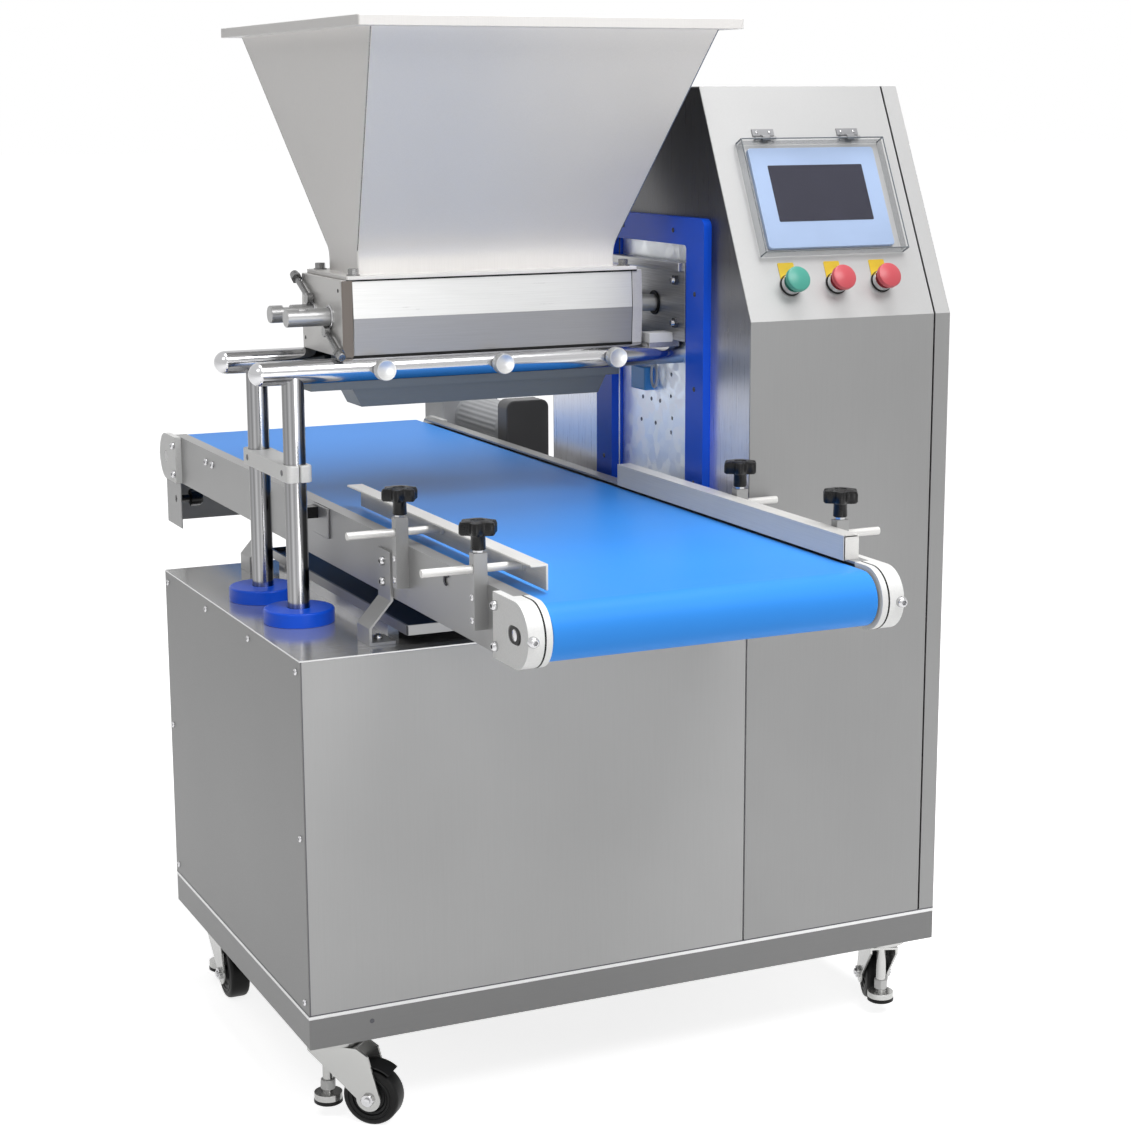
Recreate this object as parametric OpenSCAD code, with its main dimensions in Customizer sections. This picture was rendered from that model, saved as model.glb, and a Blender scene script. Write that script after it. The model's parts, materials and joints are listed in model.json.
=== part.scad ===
// Cookie depositor on casters: a sheet-metal cabinet with a console tower, a belt conveyor across it,
// and a dosing head with hopper and feed rollers that rides up and down on two guide posts.
// Lengths are in millimetres. X runs to the right, Y to the back and Z up. Positions are worked out
// from the cabinet's front left corner on the floor; machine() then moves the origin to the middle.

/* [Base and cabinet] */
// Width of the whole machine
machine_w = 960; // [900:10:1100]
// Depth of the base, the cabinet and the console tower
base_d = 640; // [600:10:760]
// Height of the casters, from the floor to the underside of the base
caster_h = 125; // [115:1:150]
// Height of the base frame's channel
base_h = 46; // [40:1:60]
// Width of the channel's lower flange
channel_w = 40; // [30:1:60]
// Wall of the channel and its cover plate
channel_t = 3; // [2:0.5:5]
// Height of the cabinet from the base to the top of the work plate
cabinet_h = 475; // [440:5:560]
// Thickness of the sheet-metal panels
sheet_t = 2; // [1:0.5:3]
// Depth of the folded edges of the panels
panel_fold = 18; // [10:1:30]
// Diameter of the panel screws' heads
screw_head_d = 9; // [6:0.5:12]
// Height of the panel screws' heads
screw_head_h = 2.5; // [1.5:0.5:4]
// Diameter of the panel screws
screw_d = 4.5; // [3:0.5:6]

/* [Console tower] */
// Width of the console tower
tower_w = 317; // [300:1:340]
// Gap between the cabinet's front panel and the console's front cover
seam_gap = 2; // [1:0.5:5]
// Height of the console's upright front above the base
console_front_h = 872; // [800:4:940]
// Height of the leaning console face
slope_rise = 310; // [300:5:360]
// Distance by which the console face leans back
slope_run = 152.5; // [130:2.5:170]
// Width of the right panel's strip beside the front cover
side_strip_w = 24; // [16:1:34]
// Gap between that strip and the front cover
strip_gap = 2.5; // [1:0.5:5]
// Width of the slot through which the dosing head is carried
window_w = 237; // [230:1:260]
// Height of that slot
window_h = 397; // [390:1:430]
// Height of the slot's top above the work plate
window_top = 491; // [485:1:510]
// Distance of the slot's middle in front of the dosing head's middle
window_shift = 15; // [10:1:20]
// Width of the plastic slot frame's sides
slot_rim = 52; // [40:1:60]
// Width of the plastic slot frame's top and bottom
slot_rim_top = 38; // [30:1:50]
// Thickness of the plastic slot frame
slot_frame_t = 12; // [10:1:16]
// Corner radius of the plastic slot frame
slot_corner_r = 12; // [6:1:20]

/* [Touch screen and buttons] */
// Width of the touch screen's bezel
screen_w = 200; // [180:1:210]
// Height of the touch screen's bezel
screen_h = 148; // [130:1:152]
// Thickness of the bezel
screen_t = 6; // [4:0.5:9]
// Corner radius of the bezel
screen_r = 5; // [2:0.5:10]
// Width of the screen's body behind the panel
screen_body_w = 186; // [150:1:190]
// Height of the screen's body behind the panel
screen_body_h = 134; // [110:1:140]
// Depth of the screen's body behind the panel
screen_body_depth = 38; // [25:1:60]
// Distance of the screen's middle from the tower's left side
screen_x = 150; // [140:1:165]
// Distance of the screen's middle up the slope from the crease
screen_s = 176; // [170:1:190]
// Width of the clear screen cover
cover_w = 228; // [220:1:240]
// Height of the clear screen cover
cover_h = 168; // [160:1:176]
// Depth of the clear screen cover
cover_depth = 18; // [14:0.5:24]
// Wall of the clear screen cover
cover_wall = 3; // [2:0.5:4]
// Length of each cover hinge
hinge_w = 34; // [24:1:44]
// Diameter of the cover hinges' knuckles
hinge_d = 8; // [7:0.5:10]
// Diameter of the cover hinges' pins
hinge_pin_d = 4; // [3:0.5:5]
// Distance between the two cover hinges
hinge_pitch = 135; // [110:1:150]
// Distance between neighbouring push buttons
button_pitch = 72; // [60:1:80]
// Distance of the push buttons up the slope from the crease
button_s = 50; // [40:1:55]
// Diameter of the mushroom caps
button_cap_d = 35; // [30:1:40]
// Thickness of the mushroom caps
button_cap_h = 12; // [8:1:14]
// Height of the caps' tops above the console face
button_stand = 30; // [28:1:36]
// Travel of the push buttons
button_travel = 4; // [2:0.5:5]
// Diameter of the buttons' metal collars
button_collar_d = 29; // [26:0.5:32]
// Height of the buttons' metal collars
button_collar_h = 10; // [6:0.5:12]
// Diameter of the buttons' barrels through the panel
button_barrel_d = 22; // [18:0.5:24]
// Length of the barrels behind the panel
button_barrel_l = 30; // [20:1:40]
// Diameter of the buttons' stems
button_stem_d = 14; // [10:0.5:16]
// Width of the yellow plates under the buttons
legend_w = 28; // [26:1:34]
// Height of the yellow plates under the buttons
legend_h = 48; // [40:1:52]
// Thickness of the yellow plates
legend_t = 1; // [0.5:0.5:2]

/* [Lift posts] */
// Distance of the posts from the cabinet's left side
post_x = 72; // [66:1:80]
// Distance between the two posts
post_gap = 160; // [150:1:170]
// Diameter of the posts
post_d = 30; // [25:1:31]
// Diameter of the plastic collars on the work plate
foot_collar_d = 96; // [80:1:110]
// Height of the plastic collars
foot_collar_h = 20; // [15:1:28]
// Diameter of the guide bush under each collar
bush_d = 44; // [40:1:60]
// Length of the guide bush below the work plate
bush_len = 40; // [30:1:60]
// Width of the clamp blocks that join the posts
tie_w = 36; // [34:1:46]
// Height of the clamp blocks
tie_h = 23; // [18:1:30]
// Wall of the clamp blocks beyond the posts
tie_wall = 7; // [5:1:12]
// Width of the clamping slit
tie_slit = 3; // [2:0.5:4]
// Height of the upper clamp block above the work plate
tie_lift = 192; // [150:1:230]
// Depth of the lower clamp block's top below the work plate
crosshead_drop = 191; // [170:1:200]
// Travel of the dosing head downwards
lift_down = 80; // [40:1:85]
// Travel of the dosing head upwards
lift_up = 20; // [10:1:20]
// Diameter of the lifting rod
rod_lift_d = 25; // [20:1:30]
// Diameter of the lifting cylinder
actuator_d = 56; // [45:1:70]

/* [Dosing head] */
// Distance of the head's middle from the console tower
head_reach = 278; // [273:1:283]
// Distance of the head's middle from the cabinet's front
head_y = 298; // [290:1:306]
// Diameter of the support bars
bar_d = 32; // [28:1:36]
// Height of the support bars' axes above the work plate
bar_height = 337; // [330:1:340]
// Length of the support bars beyond the posts
bar_overhang = 60; // [40:1:70]
// Length of the roller housing between its end plates
housing_len = 415; // [400:1:430]
// Thickness of the end plates
end_t = 16; // [12:1:18]
// Depth of the roller housing
housing_d = 162; // [160:1:170]
// Height of the roller housing
housing_h = 103; // [98:1:106]
// Bulge of the housing's front and back at half height
housing_bulge = 3; // [1:0.5:5]
// Distance between the two feed rollers' axes
roller_pitch = 70; // [70:1:74]
// Diameter of the feed rollers
roller_d = 66; // [60:1:68]
// Diameter of the feed rollers' shafts
shaft_d = 24; // [20:1:26]
// Length of the shafts' free ends beyond the left end plate
stub_len = 63; // [40:1:70]
// Number of flutes in each feed roller
flute_count = 12; // [8:1:16]
// Diameter of the flutes
flute_d = 9; // [6:0.5:11]
// Number of teeth on the feed rollers' gears
gear_teeth = 20; // [16:2:24]
// Thickness of the gears
gear_t = 12; // [8:1:14]
// Length of the manifold to the left of the head's middle
manifold_left = 260; // [240:1:265]
// Length of the manifold to the right of the head's middle
manifold_right = 200; // [195:1:210]
// Thickness of the manifold's rim
manifold_rim_t = 14; // [10:1:16]
// Height of the manifold's throat above its rim
manifold_throat_h = 32; // [26:1:34]
// Height of the manifold's tapered part
manifold_h = 28; // [20:1:34]
// Length of the manifold's tapered part at its top
manifold_top_w = 388; // [380:1:395]
// Length of the manifold's tapered part at its bottom
manifold_bottom_w = 358; // [330:1:376]
// Depth of the manifold
manifold_d = 112; // [100:1:116]
// Wall of the manifold
manifold_wall = 6; // [4:0.5:8]
// Number of dough outlets
nozzle_count = 7; // [5:1:9]
// Diameter of the dough outlets
nozzle_d = 26; // [18:1:30]
// Diameter of the thumb screws' heads
thumb_d = 25; // [20:1:30]
// Length of the thumb screws' heads
thumb_len = 15; // [10:1:20]
// Distance between the thumb screws
thumb_pitch = 172; // [150:1:180]
// Diameter of the thumb screws' shanks
thumb_screw_d = 8; // [6:0.5:10]
// Thickness of the head's bracket plate
bracket_t = 10; // [8:1:12]
// Height of the head's bracket plate
bracket_h = 110; // [100:1:112]
// Thickness of the sliding plate behind the slot
lift_plate_t = 3; // [2:0.5:4]
// Diameter of the roller motor
motor_d = 90; // [70:1:96]
// Length of the roller motor
motor_len = 150; // [110:1:160]

/* [Hopper] */
// Width of the hopper's body at its top
hopper_w = 484; // [440:2:500]
// Depth of the hopper's body at its top
hopper_d = 536; // [480:2:560]
// Height of the hopper's sloping sides
hopper_h = 290; // [240:2:340]
// Wall of the hopper
hopper_wall = 2; // [1:0.5:3]
// Width of the hopper's neck
neck_w = 382; // [370:1:390]
// Depth of the hopper's neck
neck_d = 116; // [100:1:124]
// Height of the hopper's neck
neck_h = 28; // [20:1:40]
// Width of the rim round the hopper's mouth
rim_w = 24; // [16:1:32]
// Height of the rim round the hopper's mouth
rim_h = 13; // [8:1:18]
// Thickness of the flange under the neck
flange_t = 5; // [3:0.5:8]

/* [Conveyor] */
// Distance of the left rail from the cabinet's left side
conv_left = 141; // [138:1:146]
// Gap between the right rail and the slot frame
conv_gap = 19; // [15:1:22]
// Height of the rails' tops above the work plate
rail_top = 139; // [134:1:146]
// Height of the rails
rail_h = 78; // [74:1:82]
// Width of the rails' flanges
rail_flange = 20; // [16:1:22]
// Wall of the rails
rail_t = 3; // [2:0.5:4]
// Length of the conveyor in front of the cabinet
conv_front = 417; // [400:1:430]
// Length of the whole conveyor
conv_len = 1564; // [1500:4:1620]
// Diameter of the belt rollers
belt_roller_d = 62; // [56:1:64]
// Thickness of the belt
belt_t = 2.5; // [1.5:0.5:3.5]
// Gap between the belt's edges and the rails' flanges
belt_side_gap = 3; // [2:0.5:6]
// Diameter of the belt rollers' shafts
belt_shaft_d = 20; // [16:1:24]
// Thickness of the conveyor's end plates
end_plate_t = 10; // [6:1:10]
// Length of the end plates behind the rollers' axes
end_plate_len = 62; // [60:1:80]
// Travel of the front roller's tension slot
tension_travel = 16; // [10:1:24]
// Width of the conveyor's feet
foot_w = 46; // [36:1:56]
// Thickness of the conveyor's feet
foot_t = 4; // [3:0.5:5]
// Distance by which the feet step aside
foot_step = 34; // [30:1:36]
// Length of the feet's flanges
foot_flange = 36; // [30:1:38]
// Distance of the front feet from the cabinet's front
foot_front = 60; // [50:1:90]
// Distance of the rear feet from the cabinet's back
foot_rear = 60; // [50:1:120]
// Height of the guard under the drive roller
guard_h = 80; // [60:1:100]
// Depth of the guard under the drive roller
guard_d = 88; // [70:1:110]
// Diameter of the belt motor
belt_motor_d = 78; // [60:1:84]
// Length of the belt motor
belt_motor_len = 192; // [150:1:220]
// Width of the belt motor's gearbox
gearbox_w = 104; // [96:1:120]
// Height of the belt motor's gearbox
gearbox_h = 112; // [100:1:120]
// Depth of the belt motor's gearbox
gearbox_d = 88; // [80:1:92]
// Height of the belt motor's axis above the drive roller's axis
motor_rise = 40; // [30:1:44]
// Height of the fan cover on the belt motor
fan_cover_h = 110; // [90:1:116]
// Length of the fan cover on the belt motor
fan_cover_len = 40; // [30:1:60]

/* [Guides and crumb tray] */
// Length of the side guides
guide_len = 626; // [500:2:640]
// Distance of the side guides' front ends in front of the cabinet
guide_front = 336; // [320:2:345]
// Height of the side guides
guide_h = 31; // [28:1:36]
// Width of the side guides' lips
guide_lip = 22; // [16:1:23]
// Thickness of the side guides
guide_t = 2.5; // [2:0.5:3]
// Height of the side guides above the belt
guide_lift = 4; // [3:0.5:8]
// Distance of the left guide from the left rail's outer face
guide_in_left = 51; // [46:1:60]
// Distance of the right guide from the right rail's outer face
guide_in_right = 26; // [26:1:32]
// Length of the left guide's rods
rod_left_len = 131; // [126:1:140]
// Length of the right guide's rods
rod_right_len = 91; // [88:1:110]
// Diameter of the guide rods
rod_d = 10; // [8:0.5:12]
// Width of the clamp blocks
block_w = 17; // [15:1:18]
// Depth of the clamp blocks
block_d = 14; // [13:0.5:16]
// Height of the clamp blocks
block_h = 91; // [80:1:96]
// Height of the clamp blocks' tops above the rails
block_rise = 37; // [34:1:44]
// Distance of the rear clamp blocks in front of the cabinet
block_front = 15; // [13:1:24]
// Distance between the front and rear clamp blocks
block_pitch = 256; // [200:2:270]
// Diameter of the star knobs
star_d = 48; // [40:1:50]
// Height of the star knobs' heads
star_h = 17; // [12:1:20]
// Diameter of the star knobs' hubs
star_hub_d = 18; // [15:1:20]
// Height of the star knobs' hubs
star_hub_h = 18; // [12:1:24]
// Diameter of the star knobs' screws
star_screw_d = 8; // [6:0.5:8]
// Number of lobes on a star knob
star_lobes = 6; // [5:1:8]
// Distance of the crumb tray from the cabinet's front
tray_front = 16; // [8:1:40]
// Length of the crumb tray
tray_len = 584; // [500:2:600]
// Height of the crumb tray
tray_h = 13; // [10:1:18]
// Depth of the crumb tray's hollow
tray_depth = 5; // [3:0.5:8]
// Sheet thickness of the crumb tray
tray_t = 1.5; // [1:0.5:2]
// Height of the runners under the crumb tray
tray_lift = 14; // [12:1:18]

/* [Casters] */
// Diameter of the wheels
wheel_d = 78; // [70:1:84]
// Width of the wheels
wheel_w = 30; // [24:1:34]
// Diameter of the wheels' axles
axle_d = 10; // [8:0.5:12]
// Distance of the wheels' axles behind the swivel axes
trail = 56; // [54:1:60]
// Distance of the swivel axes from the base's sides
caster_inset_x = 52; // [50:1:60]
// Distance of the swivel axes from the base's front and back
caster_inset_y = 58; // [50:1:66]
// Size of the casters' square top plates
caster_plate = 88; // [76:1:96]
// Thickness of the casters' plates and forks
caster_t = 4; // [3:0.5:4]
// Diameter of the swivel bearings
race_d = 62; // [50:1:70]
// Height of the swivel bearings
race_h = 12; // [8:1:14]
// Diameter of the levelling pads
pad_d = 38; // [30:1:40]
// Height of the levelling pads above the floor
pad_clear = 25; // [16:1:28]

/* [Hidden] */
$fn = 48;

// Radial clearance of a shaft that turns or slides in its bore
run_fit = 0.05;
// Gap between pieces that move past each other
clear = 0.3;
// Overrun of every cut
cut = 1;
// Wall thickness left beside a screw's hole
screw_margin = 15;

// Levels
base_top = caster_h + base_h;
top_z = base_top + cabinet_h;
crease_z = base_top + console_front_h;
tower_top = crease_z + slope_rise;
bar_z = top_z + bar_height;
housing_z0 = bar_z + bar_d / 2 + run_fit;
roller_z = housing_z0 + housing_h / 2;
flange_z = housing_z0 + housing_h;
neck_z = flange_z + flange_t;
hopper_z = neck_z + neck_h;
hopper_top = hopper_z + hopper_h;
rail_z1 = top_z + rail_top;
rail_z0 = rail_z1 - rail_h;
belt_axis_z = (rail_z0 + rail_z1) / 2;
belt_r = belt_roller_d / 2 + clear + belt_t;
belt_top = belt_axis_z + belt_r;
block_z1 = rail_z1 + block_rise;
tray_z0 = top_z + tray_lift + clear;

// Places across the machine
tower_x0 = machine_w - tower_w;
cabinet_w = tower_x0 - seam_gap;
cover_x1 = machine_w - side_strip_w - strip_gap;
conv_right = tower_x0 - slot_frame_t - conv_gap;
conv_x = (conv_left + conv_right) / 2;
belt_w = conv_right - conv_left - 2 * (rail_flange + belt_side_gap);
head_x = tower_x0 - head_reach;
housing_x0 = head_x - housing_len / 2;
housing_x1 = head_x + housing_len / 2;
stub_x = housing_x0 - end_t - stub_len;
bracket_back = 1;
bracket_x = tower_x0 - bracket_t - bracket_back;
tray_margin = 10;
tray_x0 = conv_left + tray_margin;
tray_x1 = conv_right - foot_step - tray_margin;

// Places along the machine
nose_y = -conv_front;
tail_y = conv_len - conv_front;
idler_y = nose_y + rail_h / 2;
drive_y = tail_y - rail_h / 2;
post_ys = [head_y - post_gap / 2, head_y + post_gap / 2];
roller_ys = [head_y - roller_pitch / 2, head_y + roller_pitch / 2];
window_y = head_y - window_shift;
window_z1 = top_z + window_top;
window_z0 = window_z1 - window_h;
block_ys = [-block_front, -block_front - block_pitch];

// The part's origin lies on the floor, in the middle of its outline
tension_head = 8;
origin_x = machine_w / 2;
origin_y = (nose_y + tail_y) / 2;

// Colours
steel = "#b9bbbd";
bright = "#d9dbdd";
blue = "#1a3fc4";
black = "#1c1c1e";

module machine() {
  translate([-origin_x, -origin_y, 0]) children();
}

// Outline in Y and Z, drawn out along X from x0
module along_x(x0, t) {
  translate([x0, 0, 0]) rotate([90, 0, 90]) linear_extrude(t) children();
}

// Outline in X and Z, drawn out along Y from y0
module along_y(y0, t) {
  translate([0, y0 + t, 0]) rotate([90, 0, 0]) linear_extrude(t) children();
}

module box(from, to) {
  translate(from) cube(to - from);
}

module rod_x(x0, x1, y, z, d) {
  translate([x0, y, z]) rotate([0, 90, 0]) cylinder(d = d, h = x1 - x0);
}

module rod_y(y0, y1, x, z, d) {
  translate([x, y0, z]) rotate([-90, 0, 0]) cylinder(d = d, h = y1 - y0);
}

module rod_z(z0, z1, x, y, d) {
  translate([x, y, z0]) cylinder(d = d, h = z1 - z0);
}

// Rectangle with round corners, centred
module round_rect(w, h, r) {
  square([w - 2 * r, h], center = true);
  square([w, h - 2 * r], center = true);
  for (sx = [-1, 1], sy = [-1, 1])
    translate([sx * (w / 2 - r), sy * (h / 2 - r)]) circle(r);
}

// Four-sided taper between two rectangles, centred in X and Y, from z = 0 up to h
module taper(w0, d0, w1, d1, h) {
  polyhedron(
    points = [
      [-w0 / 2, -d0 / 2, 0], [w0 / 2, -d0 / 2, 0], [w0 / 2, d0 / 2, 0], [-w0 / 2, d0 / 2, 0],
      [-w1 / 2, -d1 / 2, h], [w1 / 2, -d1 / 2, h], [w1 / 2, d1 / 2, h], [-w1 / 2, d1 / 2, h]
    ],
    faces = [[0, 1, 2, 3], [7, 6, 5, 4], [0, 4, 5, 1], [1, 5, 6, 2], [2, 6, 7, 3], [3, 7, 4, 0]]
  );
}

// Console: outline of the shell in Y and Z, its lean and its inner outline one sheet deep
lean = atan(slope_run / slope_rise);
shell_back = base_d - sheet_t;
shell_outer = [[0, base_top], [0, crease_z], [slope_run, tower_top], [shell_back, tower_top]];
shell_inner = [
  [shell_back, tower_top - sheet_t],
  [slope_run + sheet_t / cos(lean) - sheet_t * tan(lean), tower_top - sheet_t],
  [sheet_t, crease_z - sheet_t * tan(lean / 2)],
  [sheet_t, base_top]
];

// Console face: X across, Z up the slope and -Y outwards from the sheet
module on_slope(x, s) {
  translate([x, 0, crease_z]) rotate([-lean, 0, 0]) translate([0, 0, s]) children();
}

screen_mid_x = tower_x0 + screen_x;
button_shift = 6;
button_xs = [for (i = [-1:1]) screen_mid_x - button_shift + i * button_pitch];
button_dome_r = 42;
button_stem_in = sheet_t + button_barrel_l / 2;
contact_w = 30;
contact_h = 40;
contact_depth = 25;
hinge_gap = 1;
hinge_n = hinge_d / 2 + hinge_gap;
hinge_s = cover_h / 2 + hinge_d / 2 + hinge_gap;
hinge_leaf_len = 10;
hinge_leaf_t = 2;

// Screws
screw_len = 8;
side_rows = 3;
side_ys = [for (i = [0:side_rows]) screw_margin + i * (base_d - 2 * screw_margin) / side_rows];
side_low_zs = [base_top + screw_margin, (base_top + top_z) / 2];
left_screws = concat(
  [for (y = side_ys) [y, top_z - sheet_t - screw_margin]],
  [for (y = [side_ys[0], side_ys[side_rows]], z = side_low_zs) [y, z]]
);
right_levels = 4;
right_screws = [
  for (y = [2 * screw_margin, base_d - screw_margin], i = [0:right_levels])
    [y, base_top + screw_margin + i * (console_front_h - 2 * screw_margin) / right_levels]
];
slot_screw_head_d = 7;
slot_screw_head_h = 1;
slot_screws = concat(
  [for (sy = [-1, 1], sz = [-1, 0, 1])
    [window_y + sy * (window_w + slot_rim) / 2, (window_z0 + window_z1) / 2 + sz * window_h / 3]],
  [for (sy = [-1, 1]) [window_y + sy * window_w / 3, window_z1 + slot_rim_top / 2]]
);
plate_screw_in = 9;
plate_screws = [
  for (y = [idler_y + end_plate_len - plate_screw_in, drive_y - end_plate_len + plate_screw_in], sz = [-1, 1])
    [y, belt_axis_z + sz * (rail_h / 2 - screw_margin)]
];
tension_d = 6;
tension_head_d = 13;
tail_screw_len = 20;

// Lift
keeper_t = 5;
keeper_lap = 30;
lift_plate_x0 = tower_x0 + sheet_t + keeper_t + clear;
lift_plate_w = window_w + 2 * keeper_lap;
lift_plate_z0 = window_z0 - lift_up - screw_margin;
lift_plate_z1 = window_z1 + lift_down + screw_margin;
crosshead_z1 = top_z - crosshead_drop;
crosshead_z0 = crosshead_z1 - tie_h;
actuator_top = crosshead_z0 - lift_down - cut;
actuator_flange_d = 92;
actuator_flange_t = 8;
actuator_motor_d = 48;
actuator_motor_h = 110;
actuator_gear_h = 34;
rod_lift_z0 = base_top + actuator_flange_t + lift_down + cut;
tie_z0 = top_z + tie_lift;
tie_r = 8;
bar_x0 = post_x - bar_overhang;
collar_chamfer = 2;

// Dosing head
roller_gap = 1;
side_gap = 0.5;
flange_inset = 8;
flange_lip = 2;
flange_w = housing_len + 2 * (end_t - flange_inset);
flange_d = housing_d + 2 * flange_lip;
outlet_w = 60;
bracket_gap = 5;
bracket_rise = 3;
bracket_z0 = bar_z + bar_d / 2 + bracket_rise;
bracket_zm = bracket_z0 + bracket_h / 2;
bracket_w = window_w - 2 * bracket_gap;
bracket_bolt_y = bracket_w / 2 - 2 * screw_margin + bracket_gap;
bracket_bolt_z = bracket_h / 2 - 2 * screw_margin + bracket_gap;
bracket_bolts = [
  for (sy = [-1, 1], sz = [-1, 1]) [window_y + sy * bracket_bolt_y, bracket_zm + sz * bracket_bolt_z]
];
standoff_d = 20;
bolt_d = 8;
bolt_head_d = 15;
bolt_head_h = 9;
saddle_len = 37;
saddle_w = 26;
saddle_lip = 6;
shaft_hole_d = shaft_d + 2 * saddle_lip;
ring_w = 2;
ring_depth = 1;
ring_x = housing_x0 - end_t;
gear_gap = 4;
gear_x0 = lift_plate_x0 + lift_plate_t + gear_gap;
motor_x0 = gear_x0 + gear_t + gear_gap;
drive_box_w = 70;
drive_socket = 50;
drive_stud_d = 14;
throat_d = manifold_d - 2 * manifold_wall;
chamber_d = 48;
taper_wall_d = chamber_d + 2 * manifold_wall;
manifold_z1 = housing_z0;
manifold_rim_z1 = manifold_z1 - manifold_throat_h;
manifold_rim_z0 = manifold_rim_z1 - manifold_rim_t;
manifold_z0 = manifold_rim_z0 - manifold_h;
thumb_gap = 2;
thumb_chamfer = 1;
bar_front_y = post_ys[0] - bar_d / 2;
thumb_xs = [for (i = [-1:1]) head_x + i * thumb_pitch];
plate_hole_d = 6;
plate_hole_shares = [[0.30, 0.37], [0.34, 0.36], [0.40, 0.375], [0.46, 0.37], [0.52, 0.35], [0.66, 0.38]];

// Gear outline: straight-sided teeth on the pitch circle
gear_r = roller_pitch / 2;
gear_add_share = 0.086;
gear_ded_share = 0.1;
tooth_root_share = 0.30;
tooth_tip_share = 0.13;
function gear_point(r, turn) = [r * cos(turn), r * sin(turn)];
function gear_outline(n) = [
  for (i = [0:n - 1], p = [
    [1 - gear_ded_share, -tooth_root_share], [1 + gear_add_share, -tooth_tip_share],
    [1 + gear_add_share, tooth_tip_share], [1 - gear_ded_share, tooth_root_share]
  ]) gear_point(gear_r * p[0], (i + p[1]) * 360 / n)
];

// Conveyor
belt_x0 = conv_x - belt_w / 2;
tail_head_d = end_plate_t - 2 * side_gap;
rail_y0 = idler_y + belt_shaft_d / 2 + tension_travel;
rail_y1 = drive_y - belt_shaft_d / 2 - tension_travel;
bed_t = 2.5;
bed_z1 = belt_top - belt_t;
bed_z0 = bed_z1 - bed_t;
cross_tube_d = 25;
cross_tubes = 4;
strap_rise = 60;
foot_drop = 4;
foot_slant = 34;
foot_ys = [foot_front, base_d - foot_rear];
foot_bolt_d = 8;
foot_bolt_head = 12;
foot_bolt_h = 6;
leg_left_x = conv_left - foot_step;
leg_right_x = conv_right - foot_step;
strap_z1 = min(rail_z0 + strap_rise, rail_z1);
bend_z = rail_z0 - foot_drop;
leg_z1 = bend_z - foot_slant;
runner_w = 15;
runner_y0 = foot_ys[0] + foot_w / 2 + side_gap + foot_t;
runner_y1 = foot_ys[1] - foot_w / 2 - side_gap - foot_t;
gearbox_x0 = conv_right + end_plate_t;
gearbox_x1 = gearbox_x0 + gearbox_w;
belt_motor_x = gearbox_x1 - belt_motor_d / 2 - foot_t;
belt_motor_z = belt_axis_z + motor_rise;
gearbox_drop = 34;
gearbox_z0 = belt_axis_z - gearbox_drop;
fan_y0 = drive_y - gearbox_d / 2 - belt_motor_len;
fan_cover_r = 14;
guard_lap = 15;

// Guides
rod_drop = 19;
rod_axis_z = block_z1 - rod_drop;
guide_z0 = belt_top + guide_lift;
guide_z1 = guide_z0 + guide_h;
guide_left_x = conv_left + guide_in_left;
guide_right_x = conv_right - guide_in_right;
rod_nut_d = 16;
rod_nut_t = 4;
knob_points = [
  for (x = [conv_left - block_w / 2, conv_right + block_w / 2], y = block_ys) [x, y]
];
star_nut_h = 3;
star_nut_d = 13;
star_core_share = 0.72;
star_lobe_share = 0.3;
tray_rim = 4;

// Casters
caster_points = [
  for (y = [caster_inset_y, base_d - caster_inset_y], x = [caster_inset_x, machine_w - caster_inset_x]) [x, y]
];
caster_turns = [-42, 68, -90, 80];
axle_z = wheel_d / 2;
fork_gap = 2;
fork_w = wheel_w + 2 * (fork_gap + caster_t);
fork_z1 = caster_h - caster_t - race_h - clear;
fork_back = 30;
fork_front = 40;
fork_nose = 17;
fork_lip = 10;
kingpin_d = 14;
axle_head = 4;
axle_head_d = 17;
pad_back = 10;
pad_h = 9;
pad_stem_d = 14;
wheel_edge = 4;
hub_d = 46;
hub_sink = 3;
corner_plate = 116;

module base_frame() color(steel) machine() {
  translate([0, 0, caster_h]) difference() {
    cube([machine_w, base_d, base_h]);
    box([channel_t, channel_t, channel_t],
        [machine_w - channel_t, base_d - channel_t, base_h - channel_t]);
    box([channel_w, channel_w, -cut], [machine_w - channel_w, base_d - channel_w, channel_t + cut]);
  }
  for (x = [0, machine_w - corner_plate], y = [0, base_d - corner_plate])
    translate([x, y, caster_h]) cube([corner_plate, corner_plate, channel_t]);
}

module left_side_panel() color(steel) machine() difference() {
  box([0, 0, base_top], [sheet_t, base_d, top_z - sheet_t]);
  for (p = left_screws) rod_x(-cut, sheet_t + cut, p[0], p[1], screw_d + 2 * run_fit);
}

module front_panel() color(steel) machine() {
  box([sheet_t, 0, base_top], [cabinet_w, sheet_t, top_z - sheet_t]);
  box([cabinet_w - sheet_t, 0, base_top], [cabinet_w, panel_fold, top_z - sheet_t]);
}

// Back of the cabinet, and the back of the tower with its air slots
louver_w = 150;
louver_h = 6;
louver_pitch = 18;
louver_count = 6;
module rear_panels() color(steel) machine() {
  box([sheet_t, shell_back, base_top], [cabinet_w, base_d, top_z - sheet_t]);
  difference() {
    box([tower_x0, shell_back, base_top], [machine_w - sheet_t, base_d, tower_top]);
    for (i = [0:louver_count - 1])
      translate([tower_x0 + tower_w / 2, shell_back, crease_z + i * louver_pitch])
        cube([louver_w, 4 * sheet_t, louver_h], center = true);
  }
}

module top_plate() color(steel) machine() {
  difference() {
    box([0, 0, top_z - sheet_t], [tower_x0, base_d, top_z]);
    for (y = post_ys) rod_z(top_z - sheet_t - cut, top_z + cut, post_x, y, bush_d + 2 * clear);
    foot_bolt_holes();
  }
  for (x = [tray_x0, tray_x1 - runner_w])
    box([x, runner_y0, top_z - sheet_t], [x + runner_w, runner_y1, top_z + tray_lift]);
}

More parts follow.
